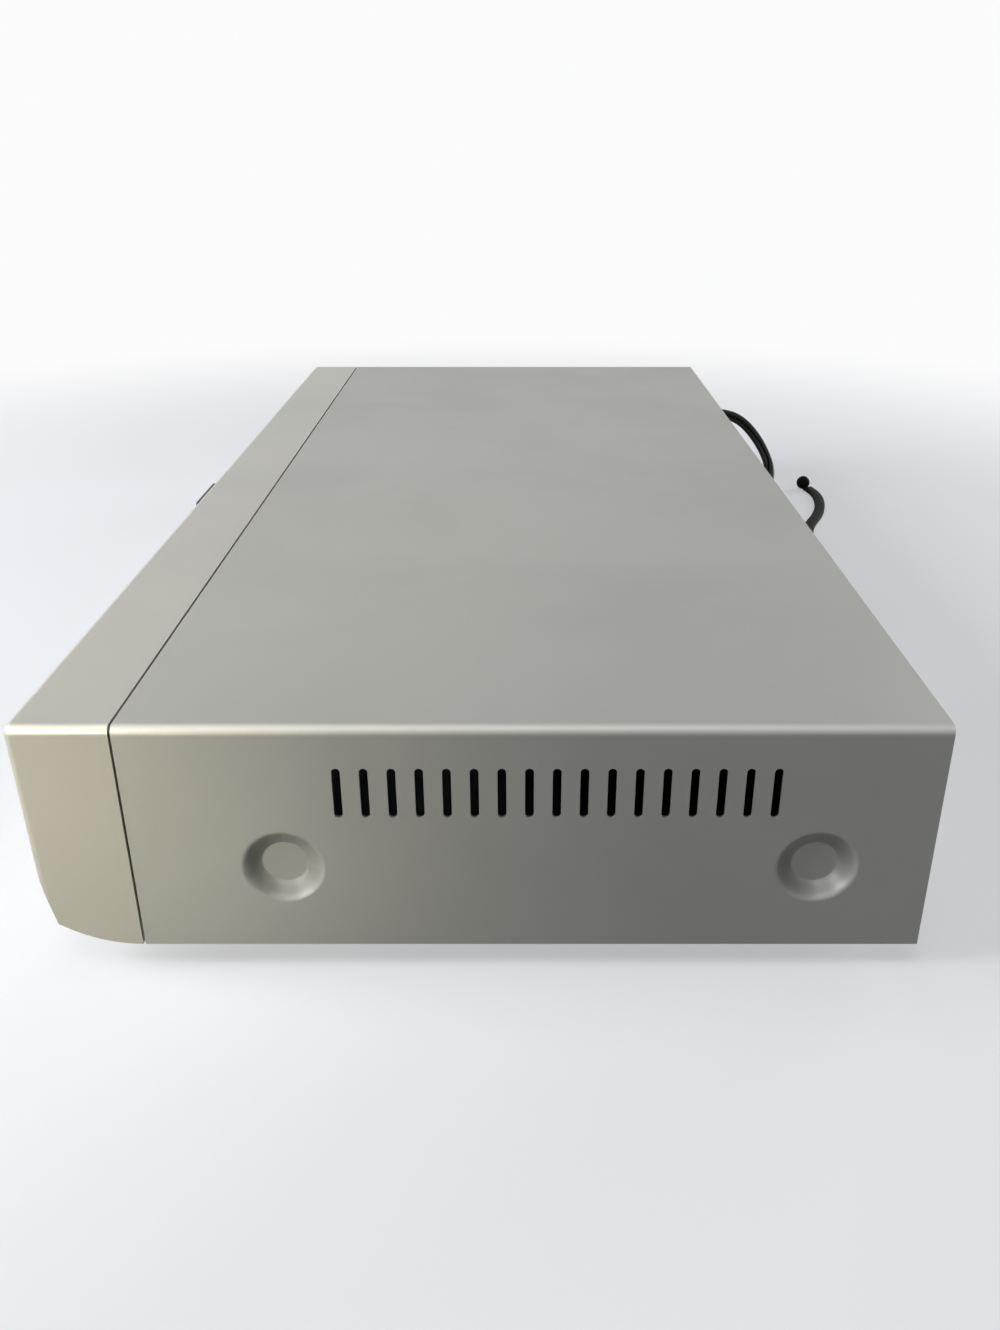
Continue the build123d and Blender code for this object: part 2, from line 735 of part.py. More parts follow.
def traverse_plate():
    z1 = traverse_z + traverse_sheet
    plate = block(loader_x - 38, loader_x + 44, plate_y[0], plate_y[1], traverse_z, z1)
    plate = plate - block(
        loader_x - 17, loader_x + 17, spindle_y + 13, spindle_y + 67, traverse_z - 1, z1 + 1
    )
    for x in (loader_x - rod_offset, loader_x + rod_offset):
        for y in (spindle_y + 7.0, spindle_y + 68.0):
            plate = plate + block(x - 2.3, x + 2.3, y - 2, y + 2, z1 - 0.5, rod_z + rod_radius + 1.0)
            plate = plate - rod_y(x, rod_z, y - 3, y + 3, rod_radius + shaft_play)
    plate = plate + rod_y(loader_x, pin_z, plate_y[0] - 7.5, plate_y[0] + 1, pin_radius * 0.7)
    plate = plate + rod_y(loader_x, pin_z, plate_y[0] - 7.5, plate_y[0] - 0.5, pin_radius)
    for x in guide_x:
        plate = plate - post(x, guide_y, traverse_z - 1, z1 + 1, 1.9 + 0.15)
    plate = plate - post(sled_x, sled_y, traverse_z - 1, z1 + 1, 1.5)
    return plate - post(loader_x, spindle_y, traverse_z - 1, z1 + 1, 1.5)


def guide_rods():
    return [
        rod_y(loader_x + side * rod_offset, rod_z, spindle_y + 5.2, spindle_y + 69.8, rod_radius)
        for side in (-1, 1)
    ]


def pickup_body():
    body = block(
        loader_x - 16, loader_x + 16, pickup_y - 8.5, pickup_y + 15, rod_z + 1.5, pickup_top
    )
    low = block(
        loader_x - rod_offset - 3, loader_x + rod_offset + 3, pickup_y - 5.5, pickup_y + 5.5,
        rod_z - 1.0, rod_z + 2.2,
    )
    body = body + low
    for side in (-1, 1):
        body = body - rod_y(
            loader_x + side * rod_offset, rod_z, pickup_y - 9, pickup_y + 16, rod_radius + shaft_play
        )
    rack = rack_outline(
        sled_x - small_radius, sled_y - pickup_travel - 3.5, sled_y + 3.5, loader_x + rod_offset + 2.5, sled_y
    )
    body = body + Pos(0, 0, sled_gear_z - 0.2) * extrude(make_face(Polyline(rack, close=True)), amount=2.6)
    return body - post(loader_x, pickup_y, rod_z + 3.4, pickup_top + 1, 5.2)


def pickup_lens():
    ring = post(loader_x, pickup_y, pickup_top - 1.4, pickup_top + 0.4, 4.4)
    lens = Pos(loader_x, pickup_y, pickup_top - 2.2) * Sphere(3.4)
    cap = lens & post(loader_x, pickup_y, pickup_top - 0.5, pickup_top + 3.0, 3.4)
    return ring + cap


def spindle_motor():
    z = traverse_z + traverse_sheet
    body = post(loader_x, spindle_y, z, z + 5.5, 11.0)
    return body + post(loader_x, spindle_y, traverse_z - 1.0, seat_z + 1.0, shaft_radius)


def turntable():
    table = post(loader_x, spindle_y, seat_z - 2.5, seat_z, table_radius)
    table = table + post(loader_x, spindle_y, seat_z - 4.0, seat_z - 2.4, 8.0)
    table = table + Pos(loader_x, spindle_y, seat_z + 1.2) * Cone(7.3, 5.4, 2.4)
    return table - post(loader_x, spindle_y, seat_z - 5, seat_z + 4, shaft_radius + shaft_play)


def sled_motor():
    can = post(sled_x, sled_y, traverse_z - 9.0, traverse_z, 7.5)
    return can + post(sled_x, sled_y, traverse_z - 1, sled_gear_z + 3.0, shaft_radius)


def sled_gear():
    wheel = Pos(sled_x, sled_y, sled_gear_z) * gear(small_teeth, gear_thick, 0)
    wheel = wheel + post(sled_x, sled_y, sled_gear_z - 0.7, sled_gear_z + 0.1, 2.5)
    return wheel - post(sled_x, sled_y, traverse_z, sled_gear_z + 5, shaft_radius + shaft_play)


# Boards and wiring


def main_board():
    plate = block(main_left, main_right, main_front, rear_y - 6.0, main_board_z, main_board_z + board)
    return plate - [screw_hole(x, y, main_board_z + board) for x, y in main_posts]


def main_chips():
    top = main_board_z + board
    x = main_left
    y = main_front
    made = [block(x + 52, x + 80, y + 20, y + 48, top, top + 3.4)]
    made.append(block(x + 16, x + 27, y + 24, y + 46, top, top + 1.2))
    made.append(block(x + 96, x + 118, y + 32, y + 43, top, top + 1.2))
    made.append(block(x + 88, x + 102, y + 54, y + 64, top, top + 2.0))
    for i in range(4):
        made.append(post(x + 10 + i * 9, y + 62, top, top + 9.0, 3.1))
    return made


def power_board():
    plate = block(
        power_left, power_right, power_front, rear_y - 8.0, power_board_z, power_board_z + board
    )
    return plate - [screw_hole(x, y, power_board_z + board) for x, y in power_posts]


def transformer():
    top = power_board_z + board
    x = power_left
    y = rear_y
    core = block(x + 16, x + 46, y - 98, y - 70, top + 3, top + 27)
    bobbin = block(x + 14, x + 48, y - 93, y - 75, top, top + 30)
    return core + bobbin


def capacitors():
    top = power_board_z + board
    made = [post(power_left + 28, rear_y - 52, top, top + 28.0, 9.0)]
    for i in range(3):
        made.append(post(power_left + 12 + i * 15, rear_y - 118, top, top + 18.0, 5.0))
    return made


def heat_sink():
    top = power_board_z + board
    x = power_left
    sink = block(x + 8, x + 10, rear_y - 62, rear_y - 32, top, top + 32)
    for i in range(4):
        y = rear_y - 60 + i * 9
        sink = sink + block(x + 3.5, x + 8.5, y, y + 1.2, top + 4, top + 32)
    return sink


def rca_jacks():
    x0 = jack_places[0][0] - 6.0
    x1 = jack_places[-1][0] + 6.0
    body = block(x0, x1, rear_y - 18, panel_front - 0.1, main_board_z + board, 52.0)
    for x, z in jack_places:
        body = body + phono(x, z)
    return body


def phono(x, z):
    """One phono socket: an outer ring round an insulator with a bore."""
    ring = rod_y(x, z, panel_front - 1.0, rear_y + jack_out, jack_radius)
    gap = rod_y(x, z, rear_y + 1.0, rear_y + jack_out + 1, 3.6) - rod_y(
        x, z, rear_y, rear_y + jack_out + 2, 2.7
    )
    return ring - gap - rod_y(x, z, rear_y, rear_y + jack_out + 1, 1.6)


def video_jack():
    x, z = video_place
    body = block(x - 8, x + 8, rear_y - 18, panel_front - 0.1, main_board_z + board, z + 9)
    body = body + rod_y(x, z, panel_front - 1, panel_back + 1.0, 6.5)
    body = body - rod_y(x, z, panel_back - 1.6, panel_back + 2, 4.7)
    for px, pz in ((-2.2, 1.5), (2.2, 1.5), (-1.5, -1.6), (1.5, -1.6)):
        body = body - rod_y(x + px, z + pz, panel_back - 5, panel_back, 0.5)
    return body


def digital_jack():
    x, z = digital_place
    body = block(x - 6, x + 6, rear_y - 18, panel_front - 0.1, main_board_z + board, z + 7)
    return body + phono(x, z)


def strip(points, low, high, thick, along_y):
    """A flat cable with rounded bends: a band along the points, as wide as low to high."""
    flat = [Vector(a, b) for a, b in points]
    radii = []
    for p, q, r in zip(flat, flat[1:], flat[2:]):
        turn = math.radians((q - p).get_angle(r - q))
        radii.append(min(3.0, 0.45 * min((q - p).length, (r - q).length) / math.tan(turn / 2)))
    if along_y:
        line = FilletPolyline(*[(0, a, b) for a, b in points], radius=radii)
        start = Plane(origin=line @ 0, x_dir=(1, 0, 0), z_dir=line % 0)
        band = sweep(sections=start * Rectangle(high - low, thick), path=line)
        return Pos((low + high) / 2, 0, 0) * band
    line = FilletPolyline(*[(a, 0, b) for a, b in points], radius=radii)
    start = Plane(origin=line @ 0, x_dir=(0, 1, 0), z_dir=line % 0)
    band = sweep(sections=start * Rectangle(high - low, thick), path=line)
    return Pos(0, (low + high) / 2, 0) * band


def front_ribbon():
    y0 = front_board_y + board
    y1 = main_front + 4.0
    top = main_board_z + board
    points = [(y0, 34.0), (y0 + 14, 34.0), (y1 - 8, 31.0), (y1, top + 5.0), (y1, top)]
    return strip(points, main_left + 78.0, main_left + 98.0, 0.6, True)


def loader_ribbon():
    x0 = loader_x + frame_out
    top = main_board_z + board
    x1 = main_left + 4.0
    points = [(x0, frame_z + 1.2), (x0 + 8, frame_z + 1.2), (x1, top + 6.0), (x1, top)]
    return strip(points, main_front + 18.0, main_front + 34.0, 0.6, False)


def power_harness():
    low = power_board_z + board
    top = main_board_z + board
    x0 = power_right - 2.0
    x1 = main_left + 2.2
    y = (frame_rear + rear_y - 14.9) / 2
    points = [(x0, low), (x0, low + 6), (x0 + 8.5, 12.0), (x1 - 13.0, 11.5), (x1, top + 6), (x1, top)]
    return strip(points, y - 5.0, y + 5.0, 1.4, False)


# Screws


def cover_screws():
    made = []
    for x in cover_screw_x:
        made.append(rod_y(x, cover_screw_z, rear_y, rear_y + 2.0, 3.2))
        made[-1] = made[-1] + rod_y(x, cover_screw_z, rear_y - 4.5, rear_y + 0.1, 1.3)
        made[-1] = made[-1] - screw_cross(x, rear_y + 2.0, cover_screw_z)
    return made


def screw_cross(x, y, z):
    """The cross recess of a screw head that faces the rear."""
    return block(x - 1.7, x + 1.7, y - 1.0, y + 1, z - 0.4, z + 0.4) + block(
        x - 0.4, x + 0.4, y - 1.0, y + 1, z - 1.7, z + 1.7
    )


def screw(x, y, z, head, reach):
    """An upright screw whose head sits at z."""
    return post(x, y, z, z + 1.8, head) + post(x, y, z - reach, z + 0.1, screw_radius)


def screw_hole(x, y, top):
    """The hole for an upright screw, down from the face at the height top."""
    return post(x, y, top - screw_depth, top + 1, screw_radius + screw_fit)


def inner_screws():
    made = []
    for places, z in ((main_posts, main_board_z + board), (power_posts, power_board_z + board)):
        made += [screw(x, y, z, 2.8, board + screw_depth - 1) for x, y in places]
    return made


def loader_screws():
    reach = frame_floor + grommet + screw_depth - 1
    return [screw(x, y, deck_z, 3.4, reach) for x, y in loader_posts]


def grommets():
    return [
        post(x, y, frame_z - grommet, frame_z, 4.5) - screw_hole(x, y, frame_z) for x, y in loader_posts
    ]


# Mains lead: the boot, the hanging stretch, the tied hank, the tail and the plug


def strain_relief():
    start = panel_front - boot_inside
    boot_start = rear_y + collar
    relief = rod_y(lead_x, lead_z, start, panel_front, 6.0)
    relief = relief + rod_y(lead_x, lead_z, panel_front - 0.1, boot_start, 4.5)
    relief = relief + rod_y(lead_x, lead_z, panel_back, boot_start, 6.5)
    taper = Pos(lead_x, boot_start + boot_length / 2, lead_z) * Rot(-90, 0, 0) * Cone(4.6, 3.3, boot_length)
    return relief + taper


cord_start = rear_y + collar + boot_length
hank_x = lead_x + hank_from_lead
hank_y = rear_y + hank_back
hank_outer = hank_inner + 1.5 * lane
hank_low = strap + strap_fit + cord_width / 2
hank_high = hank_low + layer
lane_1 = hank_y - hank_outer
hank_west = hank_x - hank_run / 2
hank_east = hank_x + hank_run / 2
plug_x = hank_x + 124.0
plug_y = rear_y + 14.0
plug_z = 6.9

# The lead's points, each as x, distance behind the cover and height
cord_points = [
    (lead_x, cord_start - rear_y, lead_z),
    (lead_x, 19.0, lead_z),
    (lead_x + 0.2, 25.4, 43.5),
    (lead_x + 1.2, 31.4, 39.6),
    (lead_x + 3.6, 37.0, 33.9),
    (lead_x + 7.4, 41.0, 27.2),
    (lead_x + 13.0, 42.6, 20.4),
    (lead_x + 20.5, 41.4, 13.8),
    (lead_x + 30.0, 37.4, 8.2),
    (lead_x + 40.6, 31.0, 4.5),
    (lead_x + 51.4, 22.6, 3.0),
    (lead_x + 62.0, 13.6, 3.1),
    (lead_x + 72.5, 6.6, 4.3),
    (hank_west, lane_1 - rear_y, hank_low),
]
tail_points = [
    (hank_east, lane_1 - rear_y, hank_high),
    (hank_east + 15.0, lane_1 - rear_y + 0.4, hank_high - 0.4),
    (hank_east + 30.0, 6.5, 6.4),
    (hank_east + 45.0, 10.0, 3.0),
    (hank_east + 61.0, 13.2, 4.6),
    (plug_x, plug_y - rear_y, plug_z),
]


def lead_route(points, name):
    """A route of straight runs and large arcs through the points, with its radii printed."""
    places = [Vector(x, rear_y + y, z) for x, y, z in points]
    radii = []
    for a, b, c in zip(places, places[1:], places[2:]):
        turn = math.radians((b - a).get_angle(c - b))
        shorter = min((b - a).length, (c - b).length)
        radii.append(0.45 * shorter / math.tan(turn / 2))
    print(name, "radii", [round(r) for r in radii])
    return FilletPolyline(*places, radius=radii)


def flat_cord(path, name):
    """The flat lead swept along a path, standing on its narrow edge."""
    direction = path % 0
    across = direction.cross(Vector(0, 0, 1)).normalized()
    start = Plane(origin=path @ 0, x_dir=across, z_dir=direction)
    tube = sweep(sections=start * Ellipse(cord_thick / 2, cord_width / 2), path=path)
    ideal = math.pi * cord_thick * cord_width / 4 * path.length
    print(name, "length", round(path.length, 1), "volume share", round(tube.volume / ideal, 4))
    return tube


def cord_free():
    return flat_cord(lead_route(cord_points, "cord_free"), "cord_free")


def half_run(x0, y0, x1, y1, z):
    """Two equal arcs from one lane to another, along X at both ends."""
    dx = x1 - x0
    dy = y1 - y0
    radius = (dx * dx + dy * dy) / (4 * abs(dy))
    angle = math.asin(abs(dx) / 2 / radius) / 2
    step_x = math.copysign(radius * math.sin(angle), dx)
    step_y = math.copysign(radius * (1 - math.cos(angle)), dy)
    middle = ((x0 + x1) / 2, (y0 + y1) / 2, z)
    return [
        ThreePointArc((x0, y0, z), (x0 + step_x, y0 + step_y, z), middle),
        ThreePointArc(middle, (x1 - step_x, y1 - step_y, z), (x1, y1, z)),
    ]


def fold(x, y0, y1, z, side):
    """A half turn at one end of the hank, as two quarter turns."""
    radius = abs(y1 - y0) / 2
    middle = (y0 + y1) / 2
    near = radius * math.sqrt(0.5)
    up = math.copysign(near, y1 - y0)
    return [
        ThreePointArc((x, y0, z), (x + side * near, middle - up, z), (x + side * radius, middle, z)),
        ThreePointArc((x + side * radius, middle, z), (x + side * near, middle + up, z), (x, y1, z)),
    ]


def hank_route():
    """The hank's loops: in on the lower layer, a climb along the middle run, out on the upper."""
    low_lanes = [lane_1, lane_1 + lane, lane_1 + 2 * lane]
    high_lanes = [lane_1 + 2 * hank_outer, lane_1 + 2 * hank_outer - lane]
    waist = {low_lanes[i]: hank_y + (i - 2) * lane for i in range(3)}
    waist.update({high_lanes[i]: hank_y + (2 - i) * lane for i in range(2)})
    order = [(low_lanes[0], high_lanes[0]), (low_lanes[1], high_lanes[1])]
    edges = []

    def run(y, z, side):
        ends = (hank_west, hank_east) if side > 0 else (hank_east, hank_west)
        edges.extend(half_run(ends[0], y, hank_x, waist[y], z))
        edges.extend(half_run(hank_x, waist[y], ends[1], y, z))
    z = hank_low
    for i, (near, far) in enumerate(order):
        run(near, z, 1)
        edges.extend(fold(hank_east, near, far, z, 1))
        run(far, z, -1)
        edges.extend(fold(hank_west, far, low_lanes[i + 1], z, -1))
    inner = low_lanes[2]
    climb = [
        (hank_west, inner, hank_low),
        (hank_west + 12.5, inner, hank_low),
        (hank_x - 12.0, waist[inner], hank_low + 2.0),
        (hank_x + 12.0, waist[inner], hank_high - 2.0),
        (hank_east - 12.5, inner, hank_high),
        (hank_east, inner, hank_high),
    ]
    edges.extend(FilletPolyline(*climb, radius=[52.0] * 4).edges())
    z = hank_high
    near = inner
    for i in (1, 0):
        far = high_lanes[i]
        edges.extend(fold(hank_east, near, far, z, 1))
        run(far, z, -1)
        near = low_lanes[i]
        edges.extend(fold(hank_west, far, near, z, -1))
        run(near, z, 1)
    return Wire(edges)


def least_gap(path):
    """The least room between the hank's turns, measured on points along its middle line."""
    count = int(path.length / 2)
    points = [path @ (i / count) for i in range(count + 1)]
    best = 99.0
    for i in range(0, count + 1):
        for j in range(i + 8, count + 1):
            a = points[i]
            b = points[j]
            side = math.hypot(a.X - b.X, a.Y - b.Y) - cord_thick
            best = min(best, max(side, abs(a.Z - b.Z) - cord_width))
    return best


def cord_hank():
    path = hank_route()
    print("cord_hank least gap", round(least_gap(path), 2))
    return flat_cord(path, "cord_hank")


def cord_tail():
    return flat_cord(lead_route(tail_points, "cord_tail"), "cord_tail")


def mains_plug():
    thick = 13.4
    outline = [(12.0, 5.5), (26.0, 13.0), (45.0, 13.0)]
    points = [(plug_x + a, plug_y - b) for a, b in outline]
    points += [(plug_x + a, plug_y + b) for a, b in outline[::-1]]
    body = extrude(make_face(Polyline(points, close=True)), amount=thick)
    body = fillet(body.edges().filter_by(Axis.Z), 2.5)
    body = fillet(body.edges().group_by(Axis.Z)[-1], 1.6)
    neck = Pos(plug_x + 7.0, plug_y, plug_z) * Rot(0, 90, 0) * Cone(3.6, 5.4, 14.0)
    plug = body + neck
    for side in (-1, 1):
        y = plug_y + side * 9.3
        plug = plug + Pos(plug_x + 54.5, y, plug_z) * Rot(0, 90, 0) * Cylinder(2.0, 19.0)
    return plug


# The strap's free end, each point as x and distance behind the cover
strap_points = [
    (hank_x, 30.0),
    (hank_x, 44.0),
    (hank_x - 18.0, 50.0),
    (hank_x - 44.0, 47.5),
    (hank_x - 68.0, 53.0),
    (hank_x - 90.0, 64.5),
    (hank_x - 112.0, 70.5),
    (hank_x - 130.0, 71.3),
    (hank_x - 141.5, 67.0),
]
strap_radii = [8.0, 14.0, 60.0, 70.0, 60.0, 60.0, 16.0]


def cord_tie():
    half = 2 * lane + cord_thick / 2 + strap_fit
    top = hank_high + cord_width / 2 + strap_fit
    outer = Pos(hank_x, hank_y, (top + strap) / 2) * Box(cord_width, 2 * (half + strap), top + strap)
    outer = fillet(outer.edges().filter_by(Axis.X), 3.0)
    inner = Pos(hank_x, hank_y, (top + strap) / 2) * Box(2 * cord_width, 2 * half, top - strap)
    inner = fillet(inner.edges().filter_by(Axis.X), 1.2)
    line = FilletPolyline(*[(x, rear_y + y, strap / 2) for x, y in strap_points], radius=strap_radii)
    start = Plane(origin=line @ 0, x_dir=(1, 0, 0), z_dir=line % 0)
    band = sweep(sections=start * Rectangle(cord_width, strap), path=line)
    x, y = strap_points[-1]
    bead = Pos(x, rear_y + y, bead_radius) * Sphere(bead_radius)
    return outer - inner + band + bead


def export_all():
    os.makedirs("parts", exist_ok=True)
    single = [
        top_cover, chassis_pan, rear_panel, feet, foot_pads, front_bezel, display_window, display_tube,
        front_board, tact_switches, control_frame, play_pad, tray_front, disc_tray, loader_frame,
        clamp_bridge, clamp_puck, drive_gear, pulley_gear, motor_pulley, loading_belt, loading_motor,
        cam_slider, traverse_plate, guide_rods, pickup_body, pickup_lens, spindle_motor, turntable,
        sled_motor, sled_gear, main_board, main_chips, power_board, transformer, capacitors, heat_sink,
        rca_jacks, video_jack, digital_jack, front_ribbon, loader_ribbon, power_harness, cover_screws,
        inner_screws, loader_screws, grommets, strain_relief, cord_free, cord_hank, cord_tail,
        mains_plug, cord_tie,
    ]
    for make in single:
        shape = make()
        if isinstance(shape, list):
            shape = Compound(children=shape)
        export_step(shape, f"parts/{make.__name__}.step")
    for name, (x, z, width, height) in buttons.items():
        export_step(push_button(x, z, width, height), f"parts/{name}.step")


export_all()
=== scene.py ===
import bmesh
import bpy
import math
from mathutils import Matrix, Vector


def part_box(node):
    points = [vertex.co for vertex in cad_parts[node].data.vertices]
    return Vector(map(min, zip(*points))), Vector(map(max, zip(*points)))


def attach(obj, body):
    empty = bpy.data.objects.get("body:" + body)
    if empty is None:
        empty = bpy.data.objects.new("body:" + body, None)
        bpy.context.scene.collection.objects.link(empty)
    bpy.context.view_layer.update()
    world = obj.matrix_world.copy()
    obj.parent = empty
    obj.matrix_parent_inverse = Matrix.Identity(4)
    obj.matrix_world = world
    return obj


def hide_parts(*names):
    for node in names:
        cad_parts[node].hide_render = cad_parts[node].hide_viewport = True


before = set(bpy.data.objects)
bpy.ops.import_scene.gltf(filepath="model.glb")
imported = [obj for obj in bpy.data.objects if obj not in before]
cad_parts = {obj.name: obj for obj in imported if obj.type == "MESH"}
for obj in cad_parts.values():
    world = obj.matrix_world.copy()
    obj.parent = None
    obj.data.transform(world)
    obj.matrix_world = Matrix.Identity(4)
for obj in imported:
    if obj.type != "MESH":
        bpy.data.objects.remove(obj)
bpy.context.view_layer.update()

# The photographer's place: level with the case's middle, past its right end, looking down along it.
# The picture's axis lies a little right of its middle, so the lens is shifted and not turned.


def placed(name, data):
    """A new object in the scene, with its data."""
    thing = bpy.data.objects.new(name, data)
    bpy.context.collection.objects.link(thing)
    return thing


cover_low, cover_high = [Vector(corner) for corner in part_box("top_cover")]
rear_y = cover_high.y
top_z = cover_high.z
camera_data = bpy.data.cameras.new("photo_camera")
camera_data.lens = 30.68
camera_data.shift_x = -0.01373
camera_data.clip_start = 0.01
camera = placed("photo_camera", camera_data)
camera.location = (0.43576, rear_y - 0.0969, top_z + 0.11868)
camera.rotation_euler = (math.radians(64.9), 0, math.radians(90))
bpy.context.scene.camera = camera
bpy.context.scene.view_settings.view_transform = "Standard"

# The studio: a pale floor that runs out of sight under an even pale sky. A soft panel in front grazes
# the near end, one hangs over it, a small warm one lights its front corner, and one stands behind.


def lamp(name, place, aim, size, power, colour=(1, 1, 1), spread=180):
    """A soft square panel at a place, turned towards its aim, with its spread in degrees."""
    data = bpy.data.lights.new(name, "AREA")
    data.shape = "SQUARE"
    data.size = size
    data.energy = power
    data.color = colour
    data.spread = math.radians(spread)
    panel = placed(name, data)
    panel.location = place
    panel.rotation_euler = (Vector(aim) - Vector(place)).to_track_quat("-Z", "Y").to_euler()


lamp("panel_key", (0.25, -0.90, 0.54), (0.0, 0.0, 0.05), 0.55, 10.5)
lamp("panel_overhead", (0.62, -0.10, 1.18), (0.1, 0.0, 0.05), 0.6, 2.8)
lamp("panel_corner", (0.50, -0.28, 0.12), (0.215, -0.115, 0.05), 0.12, 0.045, (1.0, 0.92, 0.68), 25)
lamp("panel_rear", (-0.70, 0.90, 0.26), (0.0, 0.10, 0.04), 0.6, 5.0)


def feed(tree, node, inputs):
    """Sets a node's inputs: a socket is linked, and any other value is typed in."""
    for label, value in inputs.items():
        if isinstance(value, bpy.types.NodeSocket):
            tree.links.new(value, node.inputs[label])
        else:
            node.inputs[label].default_value = value
    return node


def add(tree, kind, inputs=None, **settings):
    """Adds a node with its settings and inputs."""
    node = tree.nodes.new(kind)
    for label, value in settings.items():
        setattr(node, label, value)
    return feed(tree, node, inputs or {})


def maths(tree, operation, first, second=0.0):
    """The result of a sum on one or two values."""
    return add(tree, "ShaderNodeMath", {0: first, 1: second}, operation=operation).outputs[0]


def rays(tree, *kinds):
    """1 for the given kinds of rays, and 0 for all others."""
    path = tree.nodes.new("ShaderNodeLightPath")
    found = path.outputs[kinds[0]]
    for kind in kinds[1:]:
        found = maths(tree, "MAXIMUM", found, path.outputs[kind])
    return found


SKY_SEEN = (0.97, 0.97, 0.975, 1)
sky = bpy.data.worlds.new("studio_sky")
bpy.context.scene.world = sky
sky.use_nodes = True
sky_tree = sky.node_tree
sky_tree.nodes.clear()
ambient = add(sky_tree, "ShaderNodeBackground", {"Color": (0.96, 0.98, 1.0, 1), "Strength": 0.12})
seen = add(sky_tree, "ShaderNodeBackground", {"Color": SKY_SEEN, "Strength": 1.0})
chooser = add(sky_tree, "ShaderNodeMixShader", {
    "Fac": rays(sky_tree, "Is Camera Ray", "Is Glossy Ray", "Is Transmission Ray"),
    1: ambient.outputs[0], 2: seen.outputs[0],
})
add(sky_tree, "ShaderNodeOutputWorld", {"Surface": chooser.outputs[0]})

# The floor is pale paper. Far from the player it is as bright as the sky, so that no edge shows.
# Other rays than those of the camera and of reflections meet it as a darker one, to keep shadows deep.
FADE_FROM = 0.30
FADE_TO = 0.75


def new_material(name):
    """An empty node material, its tree, and the place on the object that it reads."""
    material = bpy.data.materials.new(name)
    material.use_nodes = True
    tree = material.node_tree
    return material, tree, tree.nodes.new("ShaderNodeTexCoord").outputs["Object"]


def mapped(tree, value, low, high, start=0.0, end=1.0, way="LINEAR"):
    """A value carried over from between start and end to between low and high."""
    return add(tree, "ShaderNodeMapRange", {
        "Value": value, "From Min": start, "From Max": end, "To Min": low, "To Max": high,
    }, interpolation_type=way).outputs["Result"]


floor_paper, tree, place = new_material("floor_paper")
paper = feed(tree, tree.nodes["Principled BSDF"], {
    "Base Color": (0.84, 0.87, 0.93, 1), "Roughness": 0.9, "Specular IOR Level": 0.1,
})
shade = add(tree, "ShaderNodeBsdfDiffuse", {"Color": (0.16, 0.16, 0.165, 1)})
glow = add(tree, "ShaderNodeEmission", {"Color": SKY_SEEN})
distance = add(tree, "ShaderNodeVectorMath", {0: place}, operation="LENGTH").outputs["Value"]
far_or_near = add(tree, "ShaderNodeMixShader", {
    "Fac": mapped(tree, distance, 0.40, 1.0, FADE_FROM, FADE_TO, "SMOOTHSTEP"),
    1: paper.outputs["BSDF"], 2: glow.outputs["Emission"],
})
seen_or_felt = add(tree, "ShaderNodeMixShader", {
    "Fac": rays(tree, "Is Camera Ray", "Is Glossy Ray"),
    1: shade.outputs["BSDF"], 2: far_or_near.outputs["Shader"],
})
feed(tree, tree.nodes["Material Output"], {"Surface": seen_or_felt.outputs["Shader"]})
mesh = bpy.data.meshes.new("floor")
mesh.from_pydata([(-9, -9, 0), (9, -9, 0), (9, 9, 0), (-9, 9, 0)], [], [(0, 1, 2, 3)])
mesh.materials.append(floor_paper)
floor = placed("floor", mesh)

# The mains lead: a flat black twin flex, two round cores side by side in one soft jacket.
# It leaves the rear panel through a boot, drops to the table, and its length is folded into a hank.
FLEX_TALL = 0.0054
FLEX_THICK = 0.0034
FLEX_START = 0.014
LEAD_X = -0.190
LEAD_Z = top_z - 0.0212
HANK_X = -0.058
HANK_RUN = 0.095
HANK_INNER = 0.012
LANE = 0.0043
LAYER = 0.0059
FIT = 0.0003
STRAP_THICK = 0.002
PLUG_FROM_HANK = 0.124
HANK_STEPS = 8
FOLD_STEPS = 6
GROOVE = 0.62
HANG_TWIST = 75
hank_outer = HANK_INNER + 1.5 * LANE
hank_y = rear_y + 0.0228
hank_low = STRAP_THICK + FIT + FLEX_TALL / 2
hank_high = hank_low + LAYER
lane_1 = hank_y - hank_outer
lane_1_back = lane_1 - rear_y
hank_west = HANK_X - HANK_RUN / 2
hank_east = HANK_X + HANK_RUN / 2


def shaded(colour, factor):
    """A colour made darker or paler."""
    return tuple(min(1, c * factor) for c in colour)


def blend(tree, factor, first, second):
    """A colour between two, each of them red, green and blue or a socket."""
    inputs = {"Factor": factor}
    for label, colour in (("A", first), ("B", second)):
        inputs[label] = (*colour, 1) if isinstance(colour, tuple) else colour
    return add(tree, "ShaderNodeMix", inputs, data_type="RGBA").outputs["Result"]


def noise(tree, place, scale, detail=2, distortion=0.0):
    """Cloudy patches from 0 to 1."""
    return add(tree, "ShaderNodeTexNoise", {
        "Vector": place, "Scale": scale, "Detail": detail, "Distortion": distortion,
    }).outputs["Fac"]


def bump(tree, height, strength, depth, under=None):
    """A relief of a strength and depth, over the one under it."""
    relief = add(tree, "ShaderNodeBump", {"Height": height, "Strength": strength, "Distance": depth})
    if under:
        feed(tree, relief, {"Normal": under})
    return relief.outputs["Normal"]


def coat(material, colour, roughness, normal=None, metallic=0.0, shine=0.5):
    """Joins a colour, sheen, relief and metal to a material's shader, and gives the material back."""
    inputs = {"Base Color": colour, "Roughness": roughness, "Metallic": metallic, "Specular IOR Level": shine}
    if normal:
        inputs["Normal"] = normal
    feed(material.node_tree, material.node_tree.nodes["Principled BSDF"], inputs)
    return material


